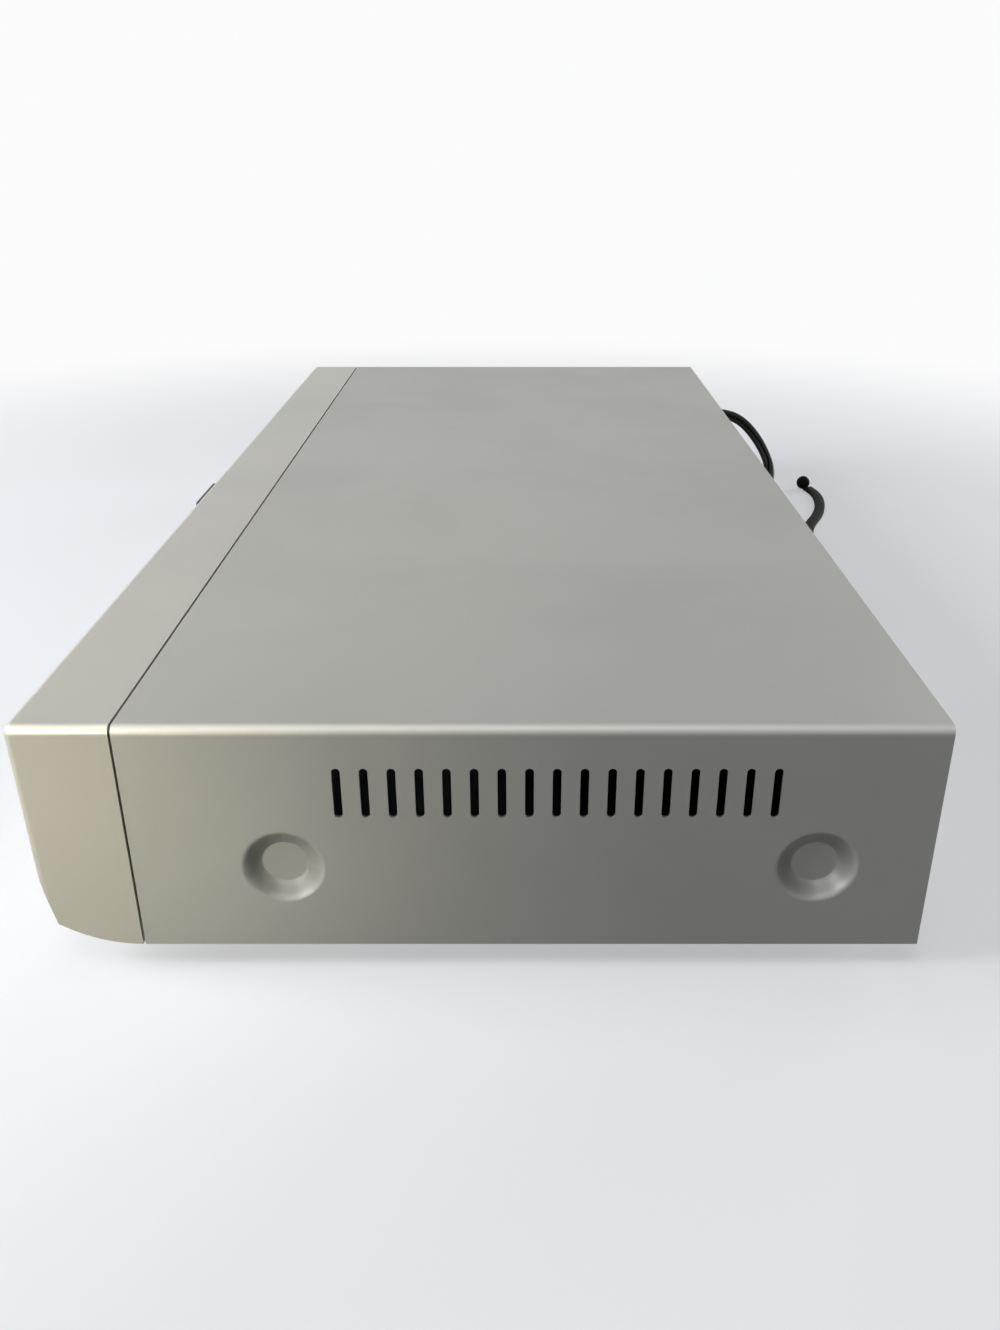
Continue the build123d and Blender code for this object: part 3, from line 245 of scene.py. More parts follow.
def moulded_finish(name, colour, roughness, grain_scale, grain_depth, mottle=0.12, metallic=0.0, shine=0.5):
    """A moulded finish: slow mottling in its colour and sheen, and a fine grain in relief."""
    material, tree, place = new_material(name)
    patches = noise(tree, place, grain_scale / 12, 4)
    tint = blend(tree, patches, shaded(colour, 1 - mottle), shaded(colour, 1 + mottle))
    sheen = mapped(tree, patches, max(0.02, roughness - 0.07), min(1, roughness + 0.07))
    relief = bump(tree, noise(tree, place, grain_scale), 0.25, grain_depth)
    return coat(material, tint, sheen, relief, metallic, shine)


flex_jacket = moulded_finish("flex_jacket", (0.011, 0.011, 0.010), 0.42, 1500, 0.00004, shine=0.22)

# The hanging stretch and the one that leads to the plug, each point as x, distance behind the cover and
# height. The hank between them is worked out from its lanes and layers.
free_points = [
    (LEAD_X, FLEX_START, LEAD_Z), (LEAD_X, 0.0190, LEAD_Z - 0.0006), (-0.1898, 0.0250, 0.0424),
    (-0.1888, 0.0306, 0.0380), (-0.1864, 0.0357, 0.0319), (-0.1826, 0.0397, 0.0252),
    (-0.1770, 0.0418, 0.0188), (-0.1695, 0.0411, 0.0129), (-0.1600, 0.0374, 0.0082),
    (-0.1494, 0.0310, 0.0045), (-0.1386, 0.0226, 0.0030), (-0.1280, 0.0136, 0.0031),
    (-0.1175, 0.0066, 0.0043),
]
tail_points = [
    (hank_east + 0.015, lane_1_back + 0.0004, hank_high - 0.0004), (hank_east + 0.030, 0.0065, 0.0064),
    (hank_east + 0.045, 0.0100, 0.0030), (hank_east + 0.061, 0.0132, 0.0046),
    (HANK_X + PLUG_FROM_HANK, 0.0140, 0.0069),
]


def hank_points():
    """The folded lead: in on the lower layer, up along the middle run, and out on the upper layer."""
    low = [lane_1, lane_1 + LANE, lane_1 + 2 * LANE]
    high = [lane_1 + 2 * hank_outer, lane_1 + 2 * hank_outer - LANE]
    waist = {low[i]: hank_y + (i - 2) * LANE for i in range(3)}
    waist.update({high[i]: hank_y + (2 - i) * LANE for i in range(2)})
    points = []

    def run(y, z0, z1, side):
        for i in range(HANK_STEPS + 1):
            t = i / HANK_STEPS
            near = 1 - abs(2 * t - 1)
            drawn = 2 * near * near if near < 0.5 else 1 - 2 * (1 - near) ** 2
            x = hank_west + t * HANK_RUN if side > 0 else hank_east - t * HANK_RUN
            climb = min(1, max(0, (t - 0.15) / 0.7))
            points.append((x, y + (waist[y] - y) * drawn, z0 + (z1 - z0) * climb))

    def fold(x, y0, y1, z, side):
        middle = (y0 + y1) / 2
        radius = (y1 - y0) / 2 / math.cos(math.pi / FOLD_STEPS / 2)
        for i in range(1, FOLD_STEPS):
            angle = math.pi * i / FOLD_STEPS
            points.append((x + side * abs(radius) * math.sin(angle), middle - radius * math.cos(angle), z))

    for i in range(2):
        run(low[i], hank_low, hank_low, 1)
        fold(hank_east, low[i], high[i], hank_low, 1)
        run(high[i], hank_low, hank_low, -1)
        fold(hank_west, high[i], low[i + 1], hank_low, -1)
    run(low[2], hank_low, hank_high, 1)
    last = low[2]
    for i in (1, 0):
        fold(hank_east, last, high[i], hank_high, 1)
        run(high[i], hank_high, hank_high, -1)
        fold(hank_west, high[i], low[i], hank_high, -1)
        run(low[i], hank_high, hank_high, 1)
        last = low[i]
    return points


def kept_mesh(holder):
    """The finished mesh of an object whose curve or modifiers are still live."""
    bpy.context.view_layer.update()
    depsgraph = bpy.context.evaluated_depsgraph_get()
    return bpy.data.meshes.new_from_object(holder.evaluated_get(depsgraph))


def spline_line(name, points, resolution):
    """Points along a smooth open spline whose control points are given."""
    curve = bpy.data.curves.new(name, "CURVE")
    curve.dimensions = "3D"
    curve.resolution_u = resolution
    spline = curve.splines.new("NURBS")
    spline.points.add(len(points) - 1)
    for knot, (x, y, z) in zip(spline.points, points):
        knot.co = (x, y, z, 1)
    spline.order_u = 3
    spline.use_endpoint_u = True
    holder = placed(name, curve)
    places = [v.co.copy() for v in kept_mesh(holder).vertices]
    bpy.data.objects.remove(holder)
    return places


def wall_faces(rings, count, closed=False):
    """Faces between rings of points, and from the last ring to the first if closed."""
    faces = []
    for i in range(rings if closed else rings - 1):
        after = (i + 1) % rings
        for k in range(count):
            beside = (k + 1) % count
            faces.append((i * count + k, i * count + beside, after * count + beside, after * count + k))
    return faces


def cap_faces(rings, count):
    """The two faces that close the ends of a row of rings."""
    return [tuple(range(count)), tuple(range((rings - 1) * count, rings * count))]


def shell_piece(name, verts, faces, material):
    """A piece from points and faces, turned outwards, with its four-sided faces smooth."""
    mesh = bpy.data.meshes.new(name)
    mesh.from_pydata([tuple(v) for v in verts], [], faces)
    mesh.materials.append(material)
    shell = bmesh.new()
    shell.from_mesh(mesh)
    bmesh.ops.recalc_face_normals(shell, faces=shell.faces)
    shell.to_mesh(mesh)
    shell.free()
    for face in mesh.polygons:
        face.use_smooth = len(face.vertices) == 4
    return placed(name, mesh)


def shaped_tube(name, line, outline, material, turn=None):
    """Sweeps an outline of (across, up) points along a line; turn gives a twist for each point."""
    verts = []
    for i, place in enumerate(line):
        ahead = (line[min(i + 1, len(line) - 1)] - line[max(i - 1, 0)]).normalized()
        across = ahead.cross(Vector((0, 0, 1))).normalized()
        up = across.cross(ahead)
        angle = turn(i) if turn else 0.0
        side = across * math.cos(angle) + up * math.sin(angle)
        rise = up * math.cos(angle) - across * math.sin(angle)
        verts += [place + side * a + rise * b for a, b in outline]
    faces = wall_faces(len(line), len(outline)) + cap_faces(len(line), len(outline))
    return shell_piece(name, verts, faces, material)


def twin_outline(tall, thick, steps=9):
    """Two round cores side by side under one jacket, with a shallow groove along each flat side."""
    core = thick / 2
    offset = tall / 2 - core
    lap = math.asin(GROOVE)
    points = []
    for sign in (-1, 1):
        for i in range(steps):
            angle = (math.pi + 2 * lap) * i / (steps - 1) - lap
            points.append((-sign * core * math.cos(angle), sign * (offset + core * math.sin(angle))))
    return points


lead_control = [(x, rear_y + back, z) for x, back, z in free_points]
lead_control += hank_points()
lead_control += [(x, rear_y + back, z) for x, back, z in tail_points]
lead_line = spline_line("mains_lead_line", lead_control, 7)


def lead_twist(i):
    """The flex turns on its side where it hangs steeply, and back before it lands."""
    z = lead_line[i].z
    if lead_line[i].x > -0.150 or z > 0.040:
        return 0.0
    if z > 0.022:
        return math.radians(HANG_TWIST) * (0.040 - z) / 0.018
    return math.radians(HANG_TWIST) * max(0.0, (z - 0.005)) / 0.017


lead = shaped_tube("mains_lead", lead_line, twin_outline(FLEX_TALL, FLEX_THICK), flex_jacket, lead_twist)
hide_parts("cord_free", "cord_hank", "cord_tail")
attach(lead, "player")

# The boot that holds the lead in the rear panel: a collar outside, a grip inside and a ribbed,
# tapered sleeve, moulded in one soft black piece.
BOOT_SLEEVE = 0.012
BOOT_RIBS = 5
BOOT_RIB_STEP = 0.0021


def turned(name, centre, axis, profile, material, steps=40):
    """A turned shape from a profile of (place along the axis, radius), closed at both ends."""
    along = Vector((0, 1, 0)) if axis == "Y" else Vector((0, 0, 1))
    first = Vector((1, 0, 0))
    second = along.cross(first)
    verts = []
    for offset, radius in profile:
        for k in range(steps):
            angle = 2 * math.pi * k / steps
            verts.append(Vector(centre) + along * offset
                         + first * radius * math.cos(angle) + second * radius * math.sin(angle))
    faces = cap_faces(len(profile), steps) + wall_faces(len(profile), steps)
    return shell_piece(name, verts, faces, material)


def new_tree(name, sizes):
    """A geometry tree with named sizes and a material: the tree, what it is given, and its last node."""
    tree = bpy.data.node_groups.new(name, "GeometryNodeTree")
    tree.interface.new_socket("Geometry", in_out="INPUT", socket_type="NodeSocketGeometry")
    for label, kind, value in sizes:
        socket = tree.interface.new_socket(label, in_out="INPUT", socket_type="NodeSocket" + kind)
        socket.default_value = value
    tree.interface.new_socket("Material", in_out="INPUT", socket_type="NodeSocketMaterial")
    tree.interface.new_socket("Geometry", in_out="OUTPUT", socket_type="NodeSocketGeometry")
    return tree, tree.nodes.new("NodeGroupInput").outputs, tree.nodes.new("NodeGroupOutput")


def close_tree(tree, given, leave, geometry):
    """Ends a tree: its instances become real and take the material."""
    real = add(tree, "GeometryNodeRealizeInstances", {0: geometry})
    clad = add(tree, "GeometryNodeSetMaterial", {"Geometry": real.outputs[0], "Material": given["Material"]})
    feed(tree, leave, {0: clad.outputs[0]})


def copies(tree, points, shape, **others):
    """Copies of a shape on points."""
    inputs = {"Points": points, "Instance": shape, **others}
    return add(tree, "GeometryNodeInstanceOnPoints", inputs).outputs[0]


def row(tree, given):
    """A row of points from the Count, the First Place and the Step that a tree is given."""
    return add(tree, "GeometryNodeMeshLine", {
        "Count": given["Count"], "Start Location": given["First Place"], "Offset": given["Step"],
    }).outputs[0]


def grown(name, tree, points, sizes, material):
    """Runs a tree on loose points with its sizes, and keeps the result as a plain mesh piece."""
    mesh = bpy.data.meshes.new(name)
    mesh.from_pydata([tuple(p) for p in points], [], [])
    piece = placed(name, mesh)
    modifier = piece.modifiers.new(name, "NODES")
    modifier.node_group = tree
    for socket in tree.interface.items_tree:
        if socket.in_out == "INPUT" and socket.name in sizes:
            modifier[socket.identifier] = sizes[socket.name]
        if socket.in_out == "INPUT" and socket.name == "Material":
            modifier[socket.identifier] = material
    made = kept_mesh(piece)
    piece.modifiers.remove(modifier)
    piece.data = made
    return piece


def joined(name, *pieces):
    """One piece from several, with the first one's materials."""
    whole_mesh = bmesh.new()
    for piece in pieces:
        whole_mesh.from_mesh(piece.data)
    mesh = bpy.data.meshes.new(name)
    whole_mesh.to_mesh(mesh)
    whole_mesh.free()
    for material in pieces[0].data.materials:
        mesh.materials.append(material)
    for piece in pieces:
        bpy.data.objects.remove(piece)
    return placed(name, mesh)


boot_vinyl = moulded_finish("boot_vinyl", (0.014, 0.014, 0.013), 0.5, 1200, 0.00005, shine=0.30)
boot_low, boot_high = [Vector(corner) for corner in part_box("strain_relief")]
sleeve_start = boot_high.y - BOOT_SLEEVE
sleeve = turned("boot_sleeve", (LEAD_X, 0, LEAD_Z), "Y", [
    (boot_low.y, 0.0046), (boot_low.y + 0.0008, 0.0060), (rear_y - 0.0019, 0.0060), (rear_y - 0.0018, 0.0045),
    (rear_y - 0.00095, 0.0045), (rear_y - 0.0009, 0.0064), (sleeve_start - 0.0006, 0.0065),
    (sleeve_start - 0.0001, 0.0060), (sleeve_start, 0.0046), (sleeve_start + 0.004, 0.0041),
    (sleeve_start + 0.008, 0.0037), (boot_high.y - 0.0005, 0.0034), (boot_high.y, 0.0030),
], boot_vinyl)

rib_tree, given, leave = new_tree("boot_rib_tree", [
    ("Count", "Int", 5), ("First Place", "Vector", (0, 0, 0)), ("Step", "Vector", (0, 0.002, 0)),
    ("Ring Radius", "Float", 0.004), ("Rib Radius", "Float", 0.0005), ("Last Scale", "Float", 0.8),
])
rib_ring, rib_bead = [
    add(rib_tree, "GeometryNodeCurvePrimitiveCircle", {"Resolution": corners, "Radius": given[size]})
    for corners, size in ((36, "Ring Radius"), (10, "Rib Radius"))
]
rib_solid = add(rib_tree, "GeometryNodeCurveToMesh", {0: rib_ring.outputs[0], 1: rib_bead.outputs[0]})
rib_number = add(rib_tree, "GeometryNodeInputIndex").outputs[0]
ribs_grown = copies(
    rib_tree, row(rib_tree, given), rib_solid.outputs[0], Rotation=(math.pi / 2, 0, 0),
    Scale=mapped(rib_tree, rib_number, 1.0, given["Last Scale"], 0.0, BOOT_RIBS - 1),
)
close_tree(rib_tree, given, leave, ribs_grown)
ribs = grown("boot_ribs", rib_tree, [(0, 0, 0)], {
    "Count": BOOT_RIBS, "First Place": (LEAD_X, sleeve_start + 0.0018, LEAD_Z), "Step": (0, BOOT_RIB_STEP, 0),
    "Ring Radius": 0.0044, "Rib Radius": 0.00055, "Last Scale": 0.80,
}, boot_vinyl)
boot = joined("lead_boot", sleeve, ribs)
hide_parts("strain_relief")
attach(boot, "player")

# The rubber tie round the folded lead: a flat band closed round it, whose free end lies on the table
# behind the player and ends in a small round button.
STRAP_WIDE = 0.0054
BUTTON_RADIUS = 0.0037
BAND_CORNER = 0.0022
strap_rubber = moulded_finish("strap_rubber", (0.010, 0.010, 0.009), 0.60, 900, 0.00008, shine=0.04)
strap_half = 2 * LANE + FLEX_THICK / 2 + FIT + STRAP_THICK / 2
strap_top = hank_high + FLEX_TALL / 2 + FIT + STRAP_THICK / 2
band_side = strap_half - BAND_CORNER
band_low = STRAP_THICK / 2 + BAND_CORNER
band_high = strap_top - BAND_CORNER
band_line = []
for across, up, start in (
    (band_side, band_low, -90), (band_side, band_high, 0),
    (-band_side, band_high, 90), (-band_side, band_low, 180),
):
    for i in range(7):
        angle = math.radians(start + 15 * i)
        band_line.append((across + BAND_CORNER * math.cos(angle), up + BAND_CORNER * math.sin(angle)))
band_section = [(-0.5, -0.3), (-0.42, -0.5), (0.42, -0.5), (0.5, -0.3), (0.5, 0.3), (0.42, 0.5),
                (-0.42, 0.5), (-0.5, 0.3)]
band_verts = []
for i, (across, up) in enumerate(band_line):
    before = band_line[i - 1]
    after = band_line[(i + 1) % len(band_line)]
    way = Vector((after[0] - before[0], after[1] - before[1])).normalized()
    out = Vector((way.y, -way.x))
    for x, depth in band_section:
        offset = out * depth * STRAP_THICK
        band_verts.append((HANK_X + x * STRAP_WIDE, hank_y + across + offset.x, up + offset.y))
band_faces = wall_faces(len(band_line), len(band_section), closed=True)
band = shell_piece("tie_band", band_verts, band_faces, strap_rubber)

strap_points = [
    (-0.0580, 0.0310), (-0.0583, 0.0400), (-0.0640, 0.0465), (-0.0760, 0.0492), (-0.1020, 0.0480),
    (-0.1260, 0.0528), (-0.1480, 0.0640), (-0.1700, 0.0700), (-0.1880, 0.0713), (-0.1970, 0.0690),
]
strap_line = spline_line("tie_strap_line", [(x, rear_y + y, STRAP_THICK / 2) for x, y in strap_points], 6)
strap_section = [(-1, -0.6), (-0.86, -1), (0.86, -1), (1, -0.6), (1, 0.6), (0.86, 1), (0, 0.86), (-0.86, 1),
                 (-1, 0.6)]
strap_outline = [(a * STRAP_WIDE / 2, b * STRAP_THICK / 2) for a, b in strap_section]
strap = shaped_tube("tie_strap", strap_line, strap_outline, strap_rubber)
button_profile = []
for i in range(13):
    angle = math.pi * i / 12 - math.pi / 2
    radius = max(0.0006, BUTTON_RADIUS * math.cos(angle))
    button_profile.append((BUTTON_RADIUS * (1 + math.sin(angle)), radius))
knob = turned("tie_button", (-0.1995, rear_y + 0.0670, 0), "Z", button_profile, strap_rubber, 28)
tie = joined("lead_tie", band, strap, knob)
for face in tie.data.polygons:
    face.use_smooth = True
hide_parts("cord_tie")
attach(tie, "player")

# The plug: a flat two-pin plug moulded in hard black plastic, with plated round pins.
# A finish that changes along a piece is given as two, each a colour, a roughness and how metallic it is.
PLUG_FACE = HANK_X + PLUG_FROM_HANK + 0.0452


def axis_of(tree, place, axis):
    """The place along one axis."""
    return add(tree, "ShaderNodeSeparateXYZ", {0: place}).outputs[axis]


def either(tree, side, near, beyond):
    """The colour, roughness and metal of near where side is 0, and of beyond where it is 1."""
    colour = blend(tree, side, near[0], beyond[0])
    return colour, mapped(tree, side, near[1], beyond[1]), mapped(tree, side, near[2], beyond[2])


def split_finish(name, near, beyond, axis, limit, middle=None):
    """Two finishes on one piece: near up to a place along an axis, and beyond after it, or near
    within a distance of a middle."""
    material, tree, place = new_material(name)
    along = axis_of(tree, place, axis)
    if middle is not None:
        along = maths(tree, "ABSOLUTE", maths(tree, "SUBTRACT", along, middle))
    colour, sheen, metal = either(tree, maths(tree, "GREATER_THAN", along, limit), near, beyond)
    dull = mapped(tree, noise(tree, place, 75, 4), 0.86, 1.12)
    mottled = add(tree, "ShaderNodeVectorMath", {0: colour, "Scale": dull}, operation="SCALE")
    relief = bump(tree, noise(tree, place, 900), 0.2, 0.00003)
    return coat(material, mottled.outputs["Vector"], sheen, relief, metal)


def dress(material, *names):
    """Gives CAD pieces a finish in place of the one they came with."""
    for name in names:
        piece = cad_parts[name]
        piece.data.materials.clear()
        piece.data.materials.append(material)


BLACK_PLASTIC = ((0.022, 0.022, 0.022), 0.38, 0.0)
PLATED = ((0.68, 0.67, 0.64), 0.24, 1.0)
dress(split_finish("plug_and_pins", BLACK_PLASTIC, PLATED, "X", PLUG_FACE), "mains_plug")

# The chassis pan: one folded, zinc-coated steel sheet with pressed posts, vents and foot holes.
# Its coating shows pale crystal patches and fine scuffs from the folding.


def stretched(tree, place, scale):
    """The place with its three axes stretched, for marks that run one way."""
    return add(tree, "ShaderNodeMapping", {"Vector": place, "Scale": scale}).outputs["Vector"]


def zinc_finish(name, colour, roughness, crystal=320):
    """Zinc-coated sheet: crystal patches that differ in tone and sheen, and fine rolling marks."""
    material, tree, place = new_material(name)
    crystals = add(tree, "ShaderNodeTexVoronoi", {"Vector": place, "Scale": crystal, "Randomness": 1.0})
    tone = add(tree, "ShaderNodeRGBToBW", {"Color": crystals.outputs["Color"]}).outputs["Val"]
    tint = blend(tree, tone, shaded(colour, 0.93), shaded(colour, 1.05))
    marks = noise(tree, stretched(tree, place, (40, 900, 900)), 1.0, 3)
    sheen = mapped(tree, tone, roughness - 0.04, roughness + 0.05)
    return coat(material, tint, sheen, bump(tree, marks, 0.15, 0.00003), 0.85)


dress(zinc_finish("zinc_sheet", (0.60, 0.61, 0.62), 0.40), "chassis_pan")

# Four round feet of hard black plastic are pressed into the pan from below.
# Each stands on a glued pad of softer, dull black rubber.
dress(moulded_finish("foot_plastic", (0.028, 0.028, 0.028), 0.5, 700, 0.00006), "feet")
dress(moulded_finish("pad_rubber", (0.024, 0.024, 0.024), 0.85, 400, 0.00012, 0.2), "foot_pads", "grommets")

# The screws: pan heads with a cross recess, in plated steel. Each head is turned its own way.
# One tree makes them all, from the places, the sizes and the way that they face.
POST_INSET = 0.006
REAR_INSET = 0.014
HEAD_HEIGHT = 0.0018
LOADER_HEAD = 0.0034
screw_steel = moulded_finish("screw_steel", (0.58, 0.58, 0.57), 0.30, 1600, 0.00002, 0.1, 1.0)
screw_tree, given, leave = new_tree("screw_tree", [
    ("Head Radius", "Float", 0.003), ("Head Height", "Float", 0.0018), ("Recess Length", "Float", 0.0034),
    ("Recess Width", "Float", 0.0008), ("Recess Depth", "Float", 0.0012), ("Shank Radius", "Float", 0.0014),
    ("Shank Length", "Float", 0.006), ("Facing", "Rotation", (0, 0, 0)), ("Seed", "Int", 3),
])


def vector(tree, x, y, z):
    """A size or place from three sockets or numbers."""
    return add(tree, "ShaderNodeCombineXYZ", {"X": x, "Y": y, "Z": z}).outputs[0]


def moved(tree, shape, **change):
    """A shape after a Translation or Rotation."""
    return add(tree, "GeometryNodeTransform", {0: shape, **change}).outputs[0]


head = add(screw_tree, "GeometryNodeMeshCone", {
    "Vertices": 24, "Radius Bottom": given["Head Radius"], "Depth": given["Head Height"],
    "Radius Top": maths(screw_tree, "MULTIPLY", given["Head Radius"], 0.72),
})
recess_deep = maths(screw_tree, "MULTIPLY", given["Recess Depth"], 2)
recess_size = vector(screw_tree, given["Recess Length"], given["Recess Width"], recess_deep)
recess = add(screw_tree, "GeometryNodeMeshCube", {"Size": recess_size}).outputs[0]
crossed = moved(screw_tree, recess, Rotation=(0, 0, math.pi / 2))
cut_head = add(screw_tree, "GeometryNodeMeshBoolean", {0: head.outputs[0]}, operation="DIFFERENCE")
for part in (recess, crossed):
    lifted = moved(screw_tree, part, Translation=vector(screw_tree, 0, 0, given["Head Height"]))
    feed(screw_tree, cut_head, {1: lifted})
shank = add(screw_tree, "GeometryNodeMeshCylinder", {
    "Vertices": 16, "Radius": given["Shank Radius"], "Depth": given["Shank Length"],
})
half_down = vector(screw_tree, 0, 0, maths(screw_tree, "MULTIPLY", given["Shank Length"], -0.5))
low_shank = moved(screw_tree, shank.outputs[0], Translation=half_down)
whole_screw = add(screw_tree, "GeometryNodeJoinGeometry")
for part in (cut_head.outputs[0], low_shank):
    feed(screw_tree, whole_screw, {0: part})
set_in = copies(screw_tree, given["Geometry"], whole_screw.outputs[0], Rotation=given["Facing"])
own_way = add(screw_tree, "FunctionNodeRandomValue", {"Max": 3.1, "Seed": given["Seed"]})
own_turn = add(screw_tree, "GeometryNodeRotateInstances", {
    0: set_in, "Rotation": vector(screw_tree, 0, 0, own_way.outputs[1]),
})
close_tree(screw_tree, given, leave, own_turn.outputs[0])


def set_screws(name, node, places, head_radius, shank_radius, shank_length, facing, seed):
    """The screws of one CAD node, at their places, under the same seats."""
    screws = grown(name, screw_tree, places, {
        "Head Radius": head_radius, "Head Height": HEAD_HEIGHT, "Recess Length": head_radius * 1.1,
        "Recess Width": 0.0008, "Recess Depth": 0.0012, "Shank Radius": shank_radius,
        "Shank Length": shank_length, "Facing": facing, "Seed": seed,
    }, screw_steel)
    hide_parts(node)
    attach(screws, "player")


main_low, main_high = [Vector(corner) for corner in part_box("main_board")]
power_low, power_high = [Vector(corner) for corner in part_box("power_board")]
screws_low, screws_high = [Vector(corner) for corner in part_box("loader_screws")]
board_seats = [
    (x, y, low.z + 0.0016)
    for low, high in ((main_low, main_high), (power_low, power_high))
    for x in (low.x + POST_INSET, high.x - POST_INSET)
    for y in (low.y + POST_INSET, rear_y - REAR_INSET)
]
loader_seats = [
    (x, y, screws_high.z - HEAD_HEIGHT)
    for x in (screws_low.x + LOADER_HEAD, screws_high.x - LOADER_HEAD)
    for y in (screws_low.y + LOADER_HEAD, screws_high.y - LOADER_HEAD)
]
set_screws("board_screws", "inner_screws", board_seats, 0.0028, 0.0015, 0.0065, (0, 0, 0), 5)
set_screws("loader_bolts", "loader_screws", loader_seats, LOADER_HEAD, 0.0015, 0.0098, (0, 0, 0), 8)

# The loader's frame: black moulded plastic with a fine spark texture on its walls and floor.
# The tray runs on its ledges, and a pressed steel bridge over it carries the clamp.
puck_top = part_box("clamp_puck")[1][2]
NYLON = ((0.80, 0.79, 0.73), 0.45, 0.0)
PUCK_STEEL = ((0.60, 0.60, 0.61), 0.3, 0.9)
dress(moulded_finish("loader_plastic", (0.045, 0.045, 0.046), 0.55, 600, 0.00008), "loader_frame")
dress(zinc_finish("bridge_steel", (0.64, 0.64, 0.65), 0.33, 420), "clamp_bridge")
dress(split_finish("clamp_puck_nylon", NYLON, PUCK_STEEL, "Z", puck_top - 0.0004), "clamp_puck")

# The tray's drive: white nylon gears and pulleys with moulding marks, a black square belt with a
# dull dusty face, and a small motor in a drawn, plated steel can.
gear_nylon = moulded_finish("gear_nylon", (0.80, 0.79, 0.73), 0.42, 500, 0.00004, 0.05)
dress(gear_nylon, "drive_gear", "pulley_gear", "motor_pulley", "cam_slider", "sled_gear")
dress(moulded_finish("belt_rubber", (0.030, 0.030, 0.030), 0.8, 1500, 0.00005, 0.25), "loading_belt")


def drawn_can(name, colour, roughness):
    """A drawn steel can: rings of fine marks round its axis and a soft stain."""
    material, tree, place = new_material(name)
    stain = noise(tree, place, 70, 5)
    tint = blend(tree, stain, shaded(colour, 0.85), shaded(colour, 1.1))
    rings = noise(tree, stretched(tree, place, (30, 30, 2400)), 1.0)
    sheen = mapped(tree, stain, roughness - 0.06, roughness + 0.08)
    return coat(material, tint, sheen, bump(tree, rings, 0.2, 0.00002), 1.0)


dress(drawn_can("motor_can", (0.62, 0.62, 0.63), 0.3), "loading_motor", "spindle_motor", "sled_motor")

# The traverse: a pressed steel plate with two ground rods, on which the cast pickup runs.
# The turntable is black plastic with a ring of grey rubber, on which the disc sits.
dress(zinc_finish("traverse_steel", (0.58, 0.59, 0.60), 0.34, 420), "traverse_plate")
dress(drawn_can("rod_steel", (0.75, 0.75, 0.76), 0.16), "guide_rods")
dress(moulded_finish("pickup_metal", (0.40, 0.41, 0.42), 0.5, 900, 0.00007, 0.14, 0.9), "pickup_body")


def ring_finish(name, inner, outer, centre, limit):
    """Two finishes on a round piece about an upright axis: inner up to a radius and outer past it."""
    material, tree, place = new_material(name)
    steps = (("SUBTRACT", (*centre, 0)), ("MULTIPLY", (1, 1, 0)))
    for operation, other in steps:
        place = add(tree, "ShaderNodeVectorMath", {0: place, 1: other}, operation=operation).outputs[0]
    radius = add(tree, "ShaderNodeVectorMath", {0: place}, operation="LENGTH").outputs["Value"]
    colour, sheen, metal = either(tree, maths(tree, "GREATER_THAN", radius, limit), inner, outer)
    grooves = maths(tree, "SINE", maths(tree, "MULTIPLY", radius, 9000))
    return coat(material, colour, sheen, bump(tree, grooves, 0.08, 0.00003), metal)


spindle_y = (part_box("turntable")[0][1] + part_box("turntable")[1][1]) / 2
loader_x = (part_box("turntable")[0][0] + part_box("turntable")[1][0]) / 2
HUB_BLACK = ((0.035, 0.035, 0.036), 0.35, 0.0)
RING_RUBBER = ((0.20, 0.20, 0.21), 0.8, 0.0)
dress(ring_finish("turntable_and_ring", HUB_BLACK, RING_RUBBER, (loader_x, spindle_y), 0.0102), "turntable")

# The lens: a coated glass dome in a black moulded holder.
lens_low, lens_high = [Vector(corner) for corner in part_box("pickup_lens")]
lens_y = (lens_low.y + lens_high.y) / 2
LENS_COAT = ((0.10, 0.13, 0.30), 0.04, 0.35)
dress(ring_finish("lens_and_holder", LENS_COAT, HUB_BLACK, (loader_x, lens_y), 0.0030), "pickup_lens")

# The boards: glass-fibre sheet under green varnish and bare tan sheet, with copper tracks that show
# as blocks of straight lines.


def board_finish(name, colour, track, block, pitch, share):
    """Varnished board: blocks of parallel tracks, each running its own way, under a glossy coat."""
    material, tree, place = new_material(name)
    blocks = add(tree, "ShaderNodeTexVoronoi", {
        "Vector": place, "Scale": 1 / block, "Randomness": 0.35,
    }, voronoi_dimensions="2D", distance="CHEBYCHEV")
    draw = add(tree, "ShaderNodeSeparateColor", {0: blocks.outputs["Color"]})
    rows, columns = [
        maths(tree, "SINE", maths(tree, "MULTIPLY", axis_of(tree, place, axis), 2 * math.pi / pitch))
        for axis in "XY"
    ]
    along = maths(tree, "GREATER_THAN", draw.outputs[0], 0.5)
    down = maths(tree, "SUBTRACT", 1.0, along)
    waves = maths(tree, "ADD", maths(tree, "MULTIPLY", rows, along), maths(tree, "MULTIPLY", columns, down))
    used = maths(tree, "LESS_THAN", draw.outputs[1], share)
    laid = maths(tree, "MULTIPLY", maths(tree, "GREATER_THAN", waves, 0.25), used)
    sheen = mapped(tree, noise(tree, place, 900), 0.24, 0.4)
    return coat(material, blend(tree, laid, colour, track), sheen, bump(tree, laid, 0.3, 0.00004))


green_board = board_finish("green_board", (0.018, 0.095, 0.040), (0.040, 0.165, 0.070), 0.007, 0.0011, 0.75)
tan_board = board_finish("tan_board", (0.33, 0.22, 0.10), (0.28, 0.18, 0.08), 0.013, 0.0042, 0.45)
dress(green_board, "main_board", "front_board")
dress(tan_board, "power_board")

